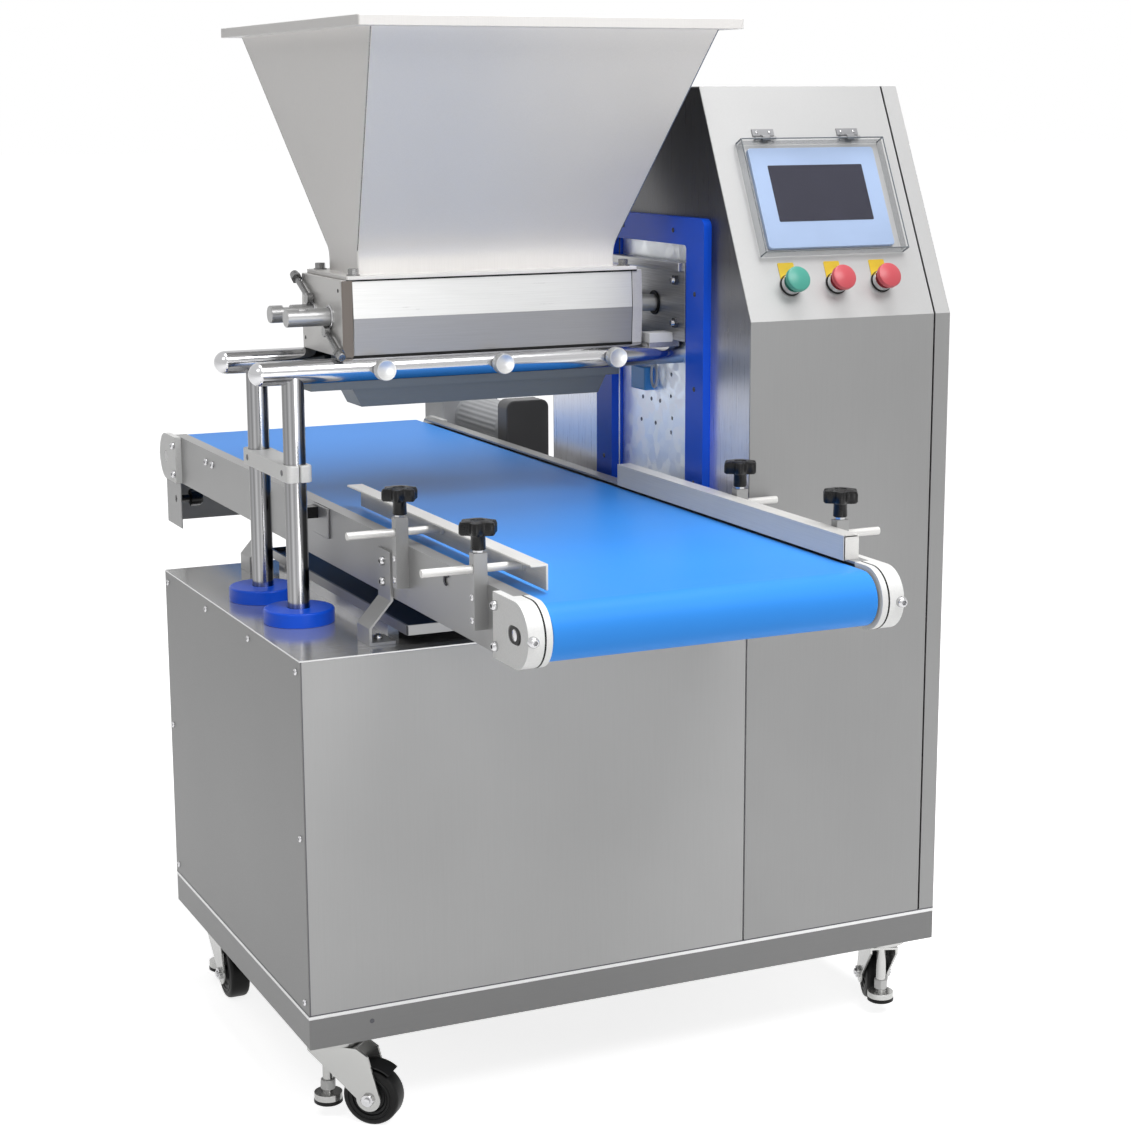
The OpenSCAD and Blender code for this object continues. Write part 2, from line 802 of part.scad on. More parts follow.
module console_front_cover() color(steel) machine() difference() {
  along_x(tower_x0, cover_x1 - tower_x0) polygon(concat(shell_outer, shell_inner));
  on_slope(screen_mid_x, screen_s)
    along_y(-cut, sheet_t + 2 * cut)
      square([screen_body_w + 2 * clear, screen_body_h + 2 * clear], center = true);
  for (x = button_xs)
    on_slope(x, button_s) rod_y(-cut, sheet_t + cut, 0, 0, button_barrel_d + 2 * clear);
}

module window_outline(grow_w, grow_h, r) {
  translate([window_y, (window_z0 + window_z1) / 2])
    round_rect(window_w + 2 * grow_w, window_h + 2 * grow_h, r);
}

module console_left_panel() color(steel) machine() difference() {
  along_x(tower_x0, sheet_t) polygon(concat([[shell_back, base_top]], shell_inner));
  along_x(tower_x0 - cut, sheet_t + 2 * cut) window_outline(0, 0, slot_corner_r / 2);
  for (p = slot_screws) rod_x(tower_x0 - cut, tower_x0 + sheet_t + cut, p[0], p[1], screw_d + 2 * run_fit);
}

module console_right_panel() color(steel) machine() difference() {
  union() {
    along_x(machine_w - side_strip_w, side_strip_w) polygon(concat(shell_outer, shell_inner));
    along_x(machine_w - sheet_t, sheet_t)
      polygon(concat(shell_outer, [[base_d, tower_top], [base_d, base_top]]));
  }
  for (p = right_screws)
    rod_x(machine_w - sheet_t - cut, machine_w + cut, p[0], p[1], screw_d + 2 * run_fit);
}

// Plastic frame round the slot, with the strips behind it that the sliding plate runs on
module slot_frame() color(blue) machine() {
  difference() {
    along_x(tower_x0 - slot_frame_t, slot_frame_t) difference() {
      window_outline(slot_rim, slot_rim_top, slot_corner_r);
      window_outline(0, 0, slot_corner_r / 2);
    }
    for (p = slot_screws)
      rod_x(tower_x0 - slot_frame_t - cut, tower_x0 + cut, p[0], p[1], screw_d + 2 * run_fit);
  }
  for (y = [window_y - window_w / 2 - slot_rim, window_y + window_w / 2])
    difference() {
      box([tower_x0 + sheet_t, y, window_z0], [tower_x0 + sheet_t + keeper_t, y + slot_rim, window_z1]);
      for (p = slot_screws)
        rod_x(tower_x0 + sheet_t - cut, lift_plate_x0, p[0], p[1], screw_d + 2 * run_fit);
    }
}

module head_screw_x(x_face, inward, y, z, d, len, head_d, head_h) {
  rod_x(min(x_face, x_face + inward * len), max(x_face, x_face + inward * len), y, z, d);
  rod_x(min(x_face, x_face - inward * head_h), max(x_face, x_face - inward * head_h), y, z, head_d);
}

// Screws of the panels, the slot frame, the conveyor's end plates and feet, and the belt's tension screws
module frame_screws() color(bright) machine() {
  for (p = left_screws) head_screw_x(0, 1, p[0], p[1], screw_d, screw_len, screw_head_d, screw_head_h);
  for (p = right_screws)
    head_screw_x(machine_w, -1, p[0], p[1], screw_d, screw_len, screw_head_d, screw_head_h);
  for (p = slot_screws)
    head_screw_x(tower_x0 - slot_frame_t, 1, p[0], p[1], screw_d, slot_frame_t + sheet_t + keeper_t / 2,
                 slot_screw_head_d, slot_screw_head_h);
  for (p = plate_screws) {
    head_screw_x(conv_left - end_plate_t, 1, p[0], p[1], foot_bolt_d, end_plate_t + screw_len,
                 foot_bolt_head, foot_bolt_h);
    head_screw_x(conv_right + end_plate_t, -1, p[0], p[1], foot_bolt_d, end_plate_t + screw_len,
                 foot_bolt_head, foot_bolt_h);
  }
  for (p = strap_screws) {
    head_screw_x(conv_left - foot_t, 1, p[0], p[1], foot_bolt_d, foot_t + screw_len,
                 foot_bolt_head, foot_bolt_h);
    head_screw_x(conv_right + foot_t, -1, p[0], p[1], foot_bolt_d, foot_t + screw_len,
                 foot_bolt_head, foot_bolt_h);
  }
  for (p = foot_bolts) {
    rod_z(top_z - sheet_t - foot_bolt_h, top_z + foot_t, p[0], p[1], foot_bolt_d);
    rod_z(top_z + foot_t, top_z + foot_t + foot_bolt_h, p[0], p[1], foot_bolt_head);
  }
  for (x = [conv_left - end_plate_t / 2, conv_right + end_plate_t / 2]) {
    rod_y(nose_y - tension_head, nose_y, x, belt_axis_z, tension_head_d);
    rod_y(nose_y - tension_head / 2, idler_y - belt_shaft_d / 2 - clear, x, belt_axis_z, tension_d);
    rod_y(tail_y, tail_y + tension_head, x, belt_axis_z, tail_head_d);
    rod_y(tail_y - tail_screw_len, tail_y + tension_head / 2, x, belt_axis_z, tension_d);
  }
}

module touch_screen() color("#b9cbe0") machine() on_slope(screen_mid_x, screen_s) {
  along_y(-screen_t, screen_t) round_rect(screen_w, screen_h, screen_r);
  along_y(-screen_t / 2, screen_t / 2 + sheet_t + screen_body_depth)
    square([screen_body_w, screen_body_h], center = true);
}

hinge_xs = [-hinge_pitch / 2, hinge_pitch / 2];
hinge_leaf_s = hinge_s + hinge_d / 2 + hinge_gap;

module cover_hinges() color(bright) machine() on_slope(screen_mid_x, screen_s) for (x = hinge_xs) {
  box([x - hinge_w / 2, -hinge_leaf_t, hinge_leaf_s], [x + hinge_w / 2, 0, hinge_leaf_s + hinge_leaf_len]);
  box([x - hinge_w / 6, -hinge_n, hinge_s], [x + hinge_w / 6, 0, hinge_leaf_s + hinge_gap]);
  rod_x(x - hinge_w / 6, x + hinge_w / 6, -hinge_n, hinge_s, hinge_d);
  rod_x(x - hinge_w / 2, x + hinge_w / 2, -hinge_n, hinge_s, hinge_pin_d);
}

module screen_cover() color("#dfe9f0", 0.5) machine() on_slope(screen_mid_x, screen_s) difference() {
  union() {
    difference() {
      box([-cover_w / 2, -clear - cover_depth, -cover_h / 2], [cover_w / 2, -clear, cover_h / 2]);
      box([cover_wall - cover_w / 2, cover_wall - clear - cover_depth, cover_wall - cover_h / 2],
          [cover_w / 2 - cover_wall, cut, cover_h / 2 - cover_wall]);
    }
    for (x = hinge_xs, side = [-1, 1]) {
      from = min(side * hinge_w / 2, side * (hinge_w / 6 + clear));
      to = max(side * hinge_w / 2, side * (hinge_w / 6 + clear));
      box([x + from, -hinge_n - hinge_d / 4, cover_h / 2 - cover_wall / 2],
          [x + to, -hinge_n + hinge_d / 4, hinge_s]);
      rod_x(x + from, x + to, -hinge_n, hinge_s, hinge_d);
    }
  }
  for (x = hinge_xs)
    rod_x(x - hinge_w / 2 - cut, x + hinge_w / 2 + cut, -hinge_n, hinge_s, hinge_pin_d + 2 * run_fit);
}

module button_bases() color(bright) machine() for (x = button_xs) on_slope(x, button_s) difference() {
  union() {
    rod_y(-legend_t - button_collar_h, -legend_t, 0, 0, button_collar_d);
    rod_y(-legend_t - cut, sheet_t + button_barrel_l + cut, 0, 0, button_barrel_d);
    box([-contact_w / 2, sheet_t + button_barrel_l, -contact_h / 2],
        [contact_w / 2, sheet_t + button_barrel_l + contact_depth, contact_h / 2]);
  }
  rod_y(-legend_t - button_collar_h - cut, button_stem_in + button_travel + cut, 0, 0,
        button_stem_d + 2 * run_fit);
}

legend_shift = 9;
module legend_plates() color("gold") machine() for (x = button_xs) on_slope(x, button_s) difference() {
  along_y(-legend_t, legend_t) translate([0, legend_shift]) square([legend_w, legend_h], center = true);
  rod_y(-legend_t - cut, cut, 0, 0, button_barrel_d + 2 * clear);
}

module push_button(x) machine() on_slope(x, button_s) {
  intersection() {
    rod_y(-button_stand, button_cap_h - button_stand, 0, 0, button_cap_d);
    translate([0, button_dome_r - button_stand, 0]) sphere(button_dome_r);
  }
  rod_y(button_cap_h - button_stand - cut, button_stem_in, 0, 0, button_stem_d);
}

module start_button() color("limegreen") push_button(button_xs[0]);
module stop_button() color("tomato") push_button(button_xs[1]);
module emergency_button() color("tomato") push_button(button_xs[2]);

module post_collars() color(blue) machine() for (y = post_ys) translate([post_x, y, top_z])
  rotate_extrude() polygon([
    [post_d / 2 + run_fit, -sheet_t - bush_len], [bush_d / 2, -sheet_t - bush_len], [bush_d / 2, 0],
    [foot_collar_d / 2, 0], [foot_collar_d / 2, foot_collar_h - collar_chamfer],
    [foot_collar_d / 2 - collar_chamfer, foot_collar_h], [post_d / 2 + run_fit, foot_collar_h]
  ]);

module lift_actuator() color(black) machine() difference() {
  union() {
    rod_z(base_top, base_top + actuator_flange_t, post_x, head_y, actuator_flange_d);
    rod_z(base_top, actuator_top, post_x, head_y, actuator_d);
    box([post_x, head_y - actuator_motor_d / 2, base_top],
        [post_x + actuator_d / 2 + actuator_motor_d, head_y + actuator_motor_d / 2,
         base_top + actuator_gear_h]);
    rod_z(base_top, base_top + actuator_gear_h + actuator_motor_h,
          post_x + actuator_flange_d / 2 + actuator_motor_d / 2, head_y, actuator_motor_d);
  }
  rod_z(base_top + actuator_flange_t, actuator_top + cut, post_x, head_y, rod_lift_d + 2 * run_fit);
}

module lift_posts() color(bright) machine() {
  for (y = post_ys) difference() {
    rod_z(crosshead_z0, bar_z, post_x, y, post_d);
    rod_x(bar_x0, post_x + post_d, y, bar_z, bar_d + 2 * run_fit);
  }
  rod_z(rod_lift_z0, crosshead_z0, post_x, head_y, rod_lift_d);
}

module post_tie(z0) difference() {
  translate([post_x, head_y, z0]) linear_extrude(tie_h)
    round_rect(tie_w, post_gap + post_d + 2 * tie_wall, tie_r);
  for (y = post_ys) rod_z(z0 - cut, z0 + tie_h + cut, post_x, y, post_d + 2 * run_fit);
  for (side = [-1, 1]) translate([post_x, head_y + side * (post_gap + post_d + tie_wall) / 2, z0 + tie_h / 2])
    cube([tie_slit, post_d + tie_wall + cut, tie_h + 2 * cut], center = true);
}

module post_ties() color(bright) machine() {
  post_tie(tie_z0);
  post_tie(crosshead_z0);
}

module support_bars() color(bright) machine() difference() {
  for (y = post_ys) {
    rod_x(bar_x0 + bar_d / 2, lift_plate_x0, y, bar_z, bar_d);
    translate([bar_x0 + bar_d / 2, y, bar_z]) sphere(d = bar_d);
  }
  for (x = thumb_xs)
    rod_y(bar_front_y - cut, post_ys[0] + bar_d / 2 + cut, x, bar_z, thumb_screw_d + 2 * run_fit);
}

// Sloping body, neck and flange, hollow from the mouth right through
module hopper() color(bright) machine() translate([head_x, head_y, 0]) difference() {
  union() {
    translate([0, 0, flange_z + flange_t / 2]) cube([flange_w, flange_d, flange_t], center = true);
    translate([0, 0, (flange_z + hopper_z) / 2]) cube([neck_w, neck_d, hopper_z - flange_z], center = true);
    translate([0, 0, hopper_z]) taper(neck_w, neck_d, hopper_w, hopper_d, hopper_h);
    translate([0, 0, hopper_top + rim_h / 2])
      cube([hopper_w + 2 * rim_w, hopper_d + 2 * rim_w, rim_h], center = true);
  }
  translate([0, 0, (flange_z + hopper_z) / 2])
    cube([neck_w - 2 * hopper_wall, neck_d - 2 * hopper_wall, hopper_z - flange_z + 2 * cut], center = true);
  translate([0, 0, hopper_z]) taper(neck_w - 2 * hopper_wall, neck_d - 2 * hopper_wall,
                                    hopper_w - 2 * hopper_wall, hopper_d - 2 * hopper_wall, hopper_h);
  translate([0, 0, hopper_top + rim_h / 2])
    cube([hopper_w - 2 * hopper_wall, hopper_d - 2 * hopper_wall, rim_h + 2 * cut], center = true);
}

module housing_outline() {
  half = housing_d / 2;
  translate([head_y, 0]) polygon([
    [-half, housing_z0], [half, housing_z0], [half + housing_bulge, roller_z], [half, flange_z],
    [-half, flange_z], [-half - housing_bulge, roller_z]
  ]);
}

module roller_housing() color(bright) machine() difference() {
  along_x(housing_x0, housing_len) housing_outline();
  for (y = roller_ys) rod_x(housing_x0 - cut, housing_x1 + cut, y, roller_z, roller_d + 2 * roller_gap);
  box([head_x - neck_w / 2 + hopper_wall, head_y - neck_d / 2 + hopper_wall, roller_z],
      [head_x + neck_w / 2 - hopper_wall, head_y + neck_d / 2 - hopper_wall, flange_z + cut]);
  box([head_x - neck_w / 2 + hopper_wall, head_y - outlet_w / 2, housing_z0 - cut],
      [head_x + neck_w / 2 - hopper_wall, head_y + outlet_w / 2, roller_z]);
}

module housing_end_plates() color(bright) machine() difference() {
  for (x = [housing_x0 - end_t, housing_x1]) along_x(x, end_t) housing_outline();
  for (y = roller_ys)
    rod_x(housing_x0 - end_t - cut, housing_x1 + end_t + cut, y, roller_z, shaft_d + 2 * run_fit);
}

chamber_w = neck_w - 2 * hopper_wall;
nozzle_pitch = (manifold_bottom_w - nozzle_d - 2 * manifold_wall) / (nozzle_count - 1);
module nozzle_manifold() color("slategray") machine() difference() {
  union() {
    box([head_x - manifold_top_w / 2, head_y - throat_d / 2, manifold_rim_z1 - cut],
        [head_x + manifold_top_w / 2, head_y + throat_d / 2, manifold_z1]);
    box([head_x - manifold_left, head_y - manifold_d / 2, manifold_rim_z0],
        [head_x + manifold_right, head_y + manifold_d / 2, manifold_rim_z1]);
    along_y(head_y - taper_wall_d / 2, taper_wall_d) translate([head_x, 0]) polygon([
      [-manifold_bottom_w / 2, manifold_z0], [manifold_bottom_w / 2, manifold_z0],
      [manifold_top_w / 2, manifold_rim_z0 + cut], [-manifold_top_w / 2, manifold_rim_z0 + cut]
    ]);
  }
  box([head_x - chamber_w / 2, head_y - chamber_d / 2, manifold_rim_z0],
      [head_x + chamber_w / 2, head_y + chamber_d / 2, manifold_z1 + cut]);
  along_y(head_y - chamber_d / 2, chamber_d) translate([head_x, 0]) polygon([
    [manifold_wall - manifold_bottom_w / 2, manifold_z0 + manifold_wall],
    [manifold_bottom_w / 2 - manifold_wall, manifold_z0 + manifold_wall],
    [manifold_bottom_w / 2, manifold_rim_z0 + cut], [-manifold_bottom_w / 2, manifold_rim_z0 + cut]
  ]);
  for (i = [0:nozzle_count - 1])
    rod_z(manifold_z0 - cut, manifold_z0 + manifold_wall + cut,
          head_x + (i - (nozzle_count - 1) / 2) * nozzle_pitch, head_y, nozzle_d);
}

module thumb_screws() color(bright) machine() for (x = thumb_xs) {
  translate([x, bar_front_y - thumb_gap - thumb_len, bar_z]) rotate([-90, 0, 0]) rotate_extrude() polygon([
    [0, 0], [thumb_d / 2 - thumb_chamfer, 0], [thumb_d / 2, thumb_chamfer],
    [thumb_d / 2, thumb_len - thumb_chamfer], [thumb_d / 2 - thumb_chamfer, thumb_len], [0, thumb_len]
  ]);
  rod_y(bar_front_y - thumb_gap - thumb_len / 2, head_y - throat_d / 2, x, bar_z, thumb_screw_d);
}

// Bracket plate with its distance pieces and the saddles that sit on the support bars
module head_bracket() color(steel) machine() difference() {
  union() {
    along_x(bracket_x, bracket_t)
      translate([window_y, bracket_zm]) square([bracket_w, bracket_h], center = true);
    for (p = bracket_bolts) rod_x(bracket_x + bracket_t - cut, lift_plate_x0, p[0], p[1], standoff_d);
    for (y = post_ys)
      box([bracket_x - saddle_len, y - saddle_w / 2, bar_z],
          [bracket_x + bracket_t, y + saddle_w / 2, bracket_z0 + saddle_lip]);
  }
  for (y = post_ys)
    rod_x(bracket_x - saddle_len - cut, bracket_x + bracket_t + cut, y, bar_z, bar_d + 2 * run_fit);
  for (y = roller_ys) rod_x(bracket_x - cut, bracket_x + bracket_t + cut, y, roller_z, shaft_d + 2 * run_fit);
  for (p = bracket_bolts) rod_x(bracket_x - cut, lift_plate_x0 + cut, p[0], p[1], bolt_d + 2 * run_fit);
}

module lift_plate() color(steel) machine() difference() {
  box([lift_plate_x0, window_y - lift_plate_w / 2, lift_plate_z0],
      [lift_plate_x0 + lift_plate_t, window_y + lift_plate_w / 2, lift_plate_z1]);
  for (y = roller_ys)
    rod_x(lift_plate_x0 - cut, lift_plate_x0 + lift_plate_t + cut, y, roller_z, shaft_hole_d);
  for (s = plate_hole_shares)
    rod_x(lift_plate_x0 - cut, lift_plate_x0 + lift_plate_t + cut,
          window_y - lift_plate_w / 2 + s[1] * lift_plate_w,
          lift_plate_z0 + s[0] * (lift_plate_z1 - lift_plate_z0), plate_hole_d);
}

module head_bolts() color(bright) machine() {
  for (p = bracket_bolts)
    head_screw_x(bracket_x, 1, p[0], p[1], bolt_d, lift_plate_x0 - bracket_x, bolt_head_d, bolt_head_h);
  for (sx = [-1, 1], sy = [-1, 1])
    translate([head_x + sx * (flange_w / 2 - screw_margin),
               head_y + sy * (flange_d / 2 - screw_margin), neck_z])
      cylinder(d = bolt_head_d, h = bolt_head_h, $fn = 6);
}

module roller_motor() color(black) machine() difference() {
  union() {
    box([motor_x0, roller_ys[0] - motor_d / 2, roller_z - motor_d / 2],
        [motor_x0 + drive_box_w, roller_ys[0] + motor_d / 2, roller_z + motor_d / 2]);
    rod_x(motor_x0 + drive_box_w - cut, motor_x0 + drive_box_w + motor_len, roller_ys[0], roller_z, motor_d);
    for (sy = [-1, 1], sz = [-1, 1])
      rod_x(lift_plate_x0 + lift_plate_t, motor_x0 + cut, roller_ys[0] + sy * (motor_d - drive_stud_d) / 2,
            roller_z + sz * (motor_d - drive_stud_d) / 2, drive_stud_d);
  }
  rod_x(motor_x0 - cut, motor_x0 + drive_socket + clear, roller_ys[0], roller_z, shaft_d + 2 * run_fit);
}

// Fluted roller on its shaft, with a retaining-ring groove outside the left end plate and a gear on the right
module feed_roller(y, x_end, turn) machine() {
  rod_x(stub_x, ring_x - ring_w, y, roller_z, shaft_d);
  rod_x(ring_x - ring_w - cut, ring_x + cut, y, roller_z, shaft_d - 2 * ring_depth);
  rod_x(ring_x, x_end, y, roller_z, shaft_d);
  difference() {
    rod_x(housing_x0 + side_gap, housing_x1 - side_gap, y, roller_z, roller_d);
    for (i = [0:flute_count - 1])
      rod_x(housing_x0, housing_x1, y + roller_d / 2 * cos(i * 360 / flute_count),
            roller_z + roller_d / 2 * sin(i * 360 / flute_count), flute_d);
  }
  along_x(gear_x0, gear_t) translate([y, roller_z]) rotate(turn) polygon(gear_outline(gear_teeth));
}

module feed_roller_front() color(bright) feed_roller(roller_ys[0], motor_x0 + drive_socket, 0);
module feed_roller_rear() color(bright) feed_roller(roller_ys[1], gear_x0 + gear_t, 180 / gear_teeth);

// Channel rail with its web on the outside
module rail_outline() polygon([
  [0, rail_z0], [rail_flange, rail_z0], [rail_flange, rail_z0 + rail_t], [rail_t, rail_z0 + rail_t],
  [rail_t, rail_z1 - rail_t], [rail_flange, rail_z1 - rail_t], [rail_flange, rail_z1], [0, rail_z1]
]);

module rail_cuts() {
  for (p = concat(plate_screws, strap_screws))
    rod_x(conv_left - end_plate_t - cut, conv_right + end_plate_t + cut, p[0], p[1],
          foot_bolt_d + 2 * run_fit);
}

bed_y0 = idler_y + belt_r;
bed_y1 = drive_y - belt_r;
module conveyor_frame() color(steel) machine() {
  difference() {
    union() {
      along_y(rail_y0, rail_y1 - rail_y0) translate([conv_left, 0]) rail_outline();
      along_y(rail_y0, rail_y1 - rail_y0) translate([conv_right, 0]) mirror([1, 0]) rail_outline();
    }
    rail_cuts();
  }
  box([conv_left + rail_t, bed_y0, bed_z0], [conv_right - rail_t, bed_y1, bed_z1]);
  for (i = [1:cross_tubes])
    rod_x(conv_left + rail_t, conv_right - rail_t, bed_y0 + i * (bed_y1 - bed_y0) / (cross_tubes + 1),
          bed_z0 - cross_tube_d / 2 + bed_t / 2, cross_tube_d);
}

module end_plate_outline(axis_y, inward) {
  translate([axis_y, belt_axis_z]) circle(rail_h / 2);
  translate([min(axis_y, axis_y + inward * end_plate_len), rail_z0]) square([end_plate_len, rail_h]);
}

// Blocks on the inner faces of the front end plates, level with the rails' flanges, up to the belt's edges
module nose_blocks() for (x = [conv_left - cut, conv_right - rail_flange])
  along_x(x, rail_flange + cut) intersection() {
    end_plate_outline(idler_y, 1);
    translate([nose_y, rail_z0]) square([rail_y0 - side_gap - nose_y, rail_h]);
  }

module belt_end_plates() color(bright) machine() difference() {
  union() {
    for (x = [conv_left - end_plate_t, conv_right]) along_x(x, end_plate_t) {
      end_plate_outline(idler_y, 1);
      end_plate_outline(drive_y, -1);
    }
    nose_blocks();
  }
  for (side = [-1, 1])
    rod_x(conv_left - end_plate_t - cut, conv_right + end_plate_t + cut, idler_y + side * tension_travel / 2,
          belt_axis_z, belt_shaft_d + 2 * run_fit);
  box([conv_left - end_plate_t - cut, idler_y - tension_travel / 2, belt_axis_z - belt_shaft_d / 2 - run_fit],
      [conv_right + end_plate_t + cut, idler_y + tension_travel / 2,
       belt_axis_z + belt_shaft_d / 2 + run_fit]);
  rod_x(conv_left - end_plate_t - cut, conv_right + end_plate_t + cut, drive_y, belt_axis_z,
        belt_shaft_d + 2 * run_fit);
  for (x = [conv_left - end_plate_t / 2, conv_right + end_plate_t / 2]) {
    rod_y(nose_y - cut, idler_y, x, belt_axis_z, tension_d + 2 * run_fit);
    rod_y(tail_y - tail_screw_len, tail_y + cut, x, belt_axis_z, tension_d + 2 * run_fit);
  }
  rail_cuts();
}

module belt_outline(r) {
  for (y = [idler_y, drive_y]) translate([y, belt_axis_z]) circle(r);
  translate([idler_y, belt_axis_z - r]) square([drive_y - idler_y, 2 * r]);
}

module conveyor_belt() color("cornflowerblue") machine() along_x(belt_x0, belt_w) difference() {
  belt_outline(belt_r, $fn = 96);
  belt_outline(belt_r - belt_t, $fn = 96);
}

module belt_roller(y, x_end) machine() {
  rod_x(belt_x0, belt_x0 + belt_w, y, belt_axis_z, belt_roller_d);
  rod_x(conv_left - end_plate_t, x_end, y, belt_axis_z, belt_shaft_d);
}

module drive_roller() color(steel) belt_roller(drive_y, gearbox_x0 + gearbox_w - foot_t);
module idler_roller() color(steel) belt_roller(idler_y, conv_right + end_plate_t);

// Feet: a strap on the rail's outer face, a step to the left and a flange on the work plate
strap_screw_shares = [0.3, 0.75];
strap_screws = [for (y = foot_ys, s = strap_screw_shares) [y, rail_z0 + s * (strap_z1 - rail_z0)]];
flange_bolt_in = foot_t + (foot_flange - foot_t) / 2;
foot_bolts = [
  for (y = foot_ys, x = [leg_left_x + flange_bolt_in, leg_right_x + foot_t - flange_bolt_in]) [x, y]
];
module foot_bolt_holes() {
  for (p = foot_bolts)
    rod_z(top_z - sheet_t - cut, top_z + foot_t + cut, p[0], p[1], foot_bolt_d + 2 * run_fit);
}

module conveyor_feet() color(steel) machine() difference() {
  for (y = foot_ys) along_y(y - foot_w / 2, foot_w) {
    polygon([
      [conv_left, strap_z1], [conv_left - foot_t, strap_z1], [conv_left - foot_t, bend_z],
      [leg_left_x, leg_z1], [leg_left_x, top_z], [leg_left_x + foot_flange, top_z],
      [leg_left_x + foot_flange, top_z + foot_t], [leg_left_x + foot_t, top_z + foot_t],
      [leg_left_x + foot_t, leg_z1], [conv_left, bend_z]
    ]);
    polygon([
      [conv_right, strap_z1], [conv_right + foot_t, strap_z1], [conv_right + foot_t, bend_z],
      [leg_right_x + foot_t, leg_z1], [leg_right_x + foot_t, top_z],
      [leg_right_x + foot_t - foot_flange, top_z], [leg_right_x + foot_t - foot_flange, top_z + foot_t],
      [leg_right_x, top_z + foot_t], [leg_right_x, leg_z1], [conv_right, bend_z]
    ]);
  }
  foot_bolt_holes();
  rail_cuts();
}

guard_y0 = tail_y - guard_d;
guard_tab_y0 = rail_y1 + side_gap;
module rear_guard() color(steel) machine() {
  for (x = [conv_left, conv_right - sheet_t]) {
    box([x, guard_y0, rail_z0 - guard_h], [x + sheet_t, tail_y, rail_z0]);
    box([x, guard_tab_y0, rail_z0 - cut], [x + sheet_t, drive_y + guard_lap, rail_z0 + guard_lap]);
  }
  box([conv_left, tail_y - sheet_t, rail_z0 - guard_h], [conv_right, tail_y, rail_z0]);
}

module belt_motor() color("gray") machine() difference() {
  union() {
    box([gearbox_x0, drive_y - gearbox_d / 2, gearbox_z0],
        [gearbox_x1, drive_y + gearbox_d / 2, gearbox_z0 + gearbox_h]);
    rod_y(fan_y0, drive_y - gearbox_d / 2 + cut, belt_motor_x, belt_motor_z, belt_motor_d);
  }
  rod_x(gearbox_x0 - cut, gearbox_x1 - foot_t + clear, drive_y, belt_axis_z, belt_shaft_d + 2 * run_fit);
}

module motor_fan_cover() color(black) machine() along_y(fan_y0 - fan_cover_len, fan_cover_len)
  translate([belt_motor_x, belt_motor_z]) round_rect(belt_motor_d, fan_cover_h, fan_cover_r);

module guide_blocks() color(bright) machine() difference() {
  for (p = knob_points)
    box([p[0] - block_w / 2, p[1] - block_d / 2, block_z1 - block_h],
        [p[0] + block_w / 2, p[1] + block_d / 2, block_z1]);
  for (p = knob_points) {
    rod_x(p[0] - block_w, p[0] + block_w, p[1], rod_axis_z, rod_d + 2 * run_fit);
    rod_z(rod_axis_z, block_z1 + cut, p[0], p[1], star_screw_d + 2 * run_fit);
  }
}

// Angle strip with its lip towards the rail, and the two rods that hold it
module side_guide(x, out, rod_len) machine() {
  box([min(x, x + out * guide_t), -guide_front, guide_z0],
      [max(x, x + out * guide_t), guide_len - guide_front, guide_z1]);
  box([min(x, x + out * guide_lip), -guide_front, guide_z1 - guide_t],
      [max(x, x + out * guide_lip), guide_len - guide_front, guide_z1]);
  for (y = block_ys) {
    rod_x(min(x + out * guide_t / 2, x + out * rod_len), max(x + out * guide_t / 2, x + out * rod_len),
          y, rod_axis_z, rod_d);
    rod_x(min(x + out * guide_t / 2, x + out * (guide_t + rod_nut_t)),
          max(x + out * guide_t / 2, x + out * (guide_t + rod_nut_t)), y, rod_axis_z, rod_nut_d);
  }
}

module left_guide() color(steel) side_guide(guide_left_x, -1, rod_left_len);
module right_guide() color(steel) side_guide(guide_right_x, 1, rod_right_len);

star_hub_z0 = block_z1 + clear + star_nut_h;
module guide_knob(i) color(black) machine() translate([knob_points[i][0], knob_points[i][1], 0]) {
  rod_z(rod_axis_z + rod_d / 2 + clear, star_hub_z0 + cut, 0, 0, star_screw_d);
  rod_z(block_z1 + clear, star_hub_z0, 0, 0, star_nut_d);
  rod_z(star_hub_z0, star_hub_z0 + star_hub_h + cut, 0, 0, star_hub_d);
  translate([0, 0, star_hub_z0 + star_hub_h]) linear_extrude(star_h) {
    circle(d = star_core_share * star_d);
    for (k = [0:star_lobes - 1]) rotate(k * 360 / star_lobes)
      translate([(1 - star_lobe_share) * star_d / 2, 0]) circle(d = star_lobe_share * star_d);
  }
}

module crumb_tray() color(black) machine() difference() {
  box([tray_x0, tray_front, tray_z0], [tray_x1, tray_front + tray_len, tray_z0 + tray_h]);
  box([tray_x0 + tray_rim, tray_front + tray_rim, tray_z0 + tray_h - tray_depth],
      [tray_x1 - tray_rim, tray_front + tray_len - tray_rim, tray_z0 + tray_h + cut]);
  box([tray_x0 + tray_t, tray_front + tray_t, tray_z0 - cut],
      [tray_x1 - tray_t, tray_front + tray_len - tray_t, tray_z0 + tray_h - tray_depth - tray_t]);
}

module caster_plates() color(bright) machine() for (p = caster_points) translate([p[0], p[1], 0]) {
  translate([0, 0, caster_h - caster_t / 2]) cube([caster_plate, caster_plate, caster_t], center = true);
  rod_z(fork_z1 + clear, caster_h - caster_t, 0, 0, race_d);
  rod_z(fork_z1 - caster_t / 2, caster_h - caster_t, 0, 0, kingpin_d);
}

module at_caster(i) machine() translate([caster_points[i][0], caster_points[i][1], 0])
  rotate([0, 0, caster_turns[i]]) children();

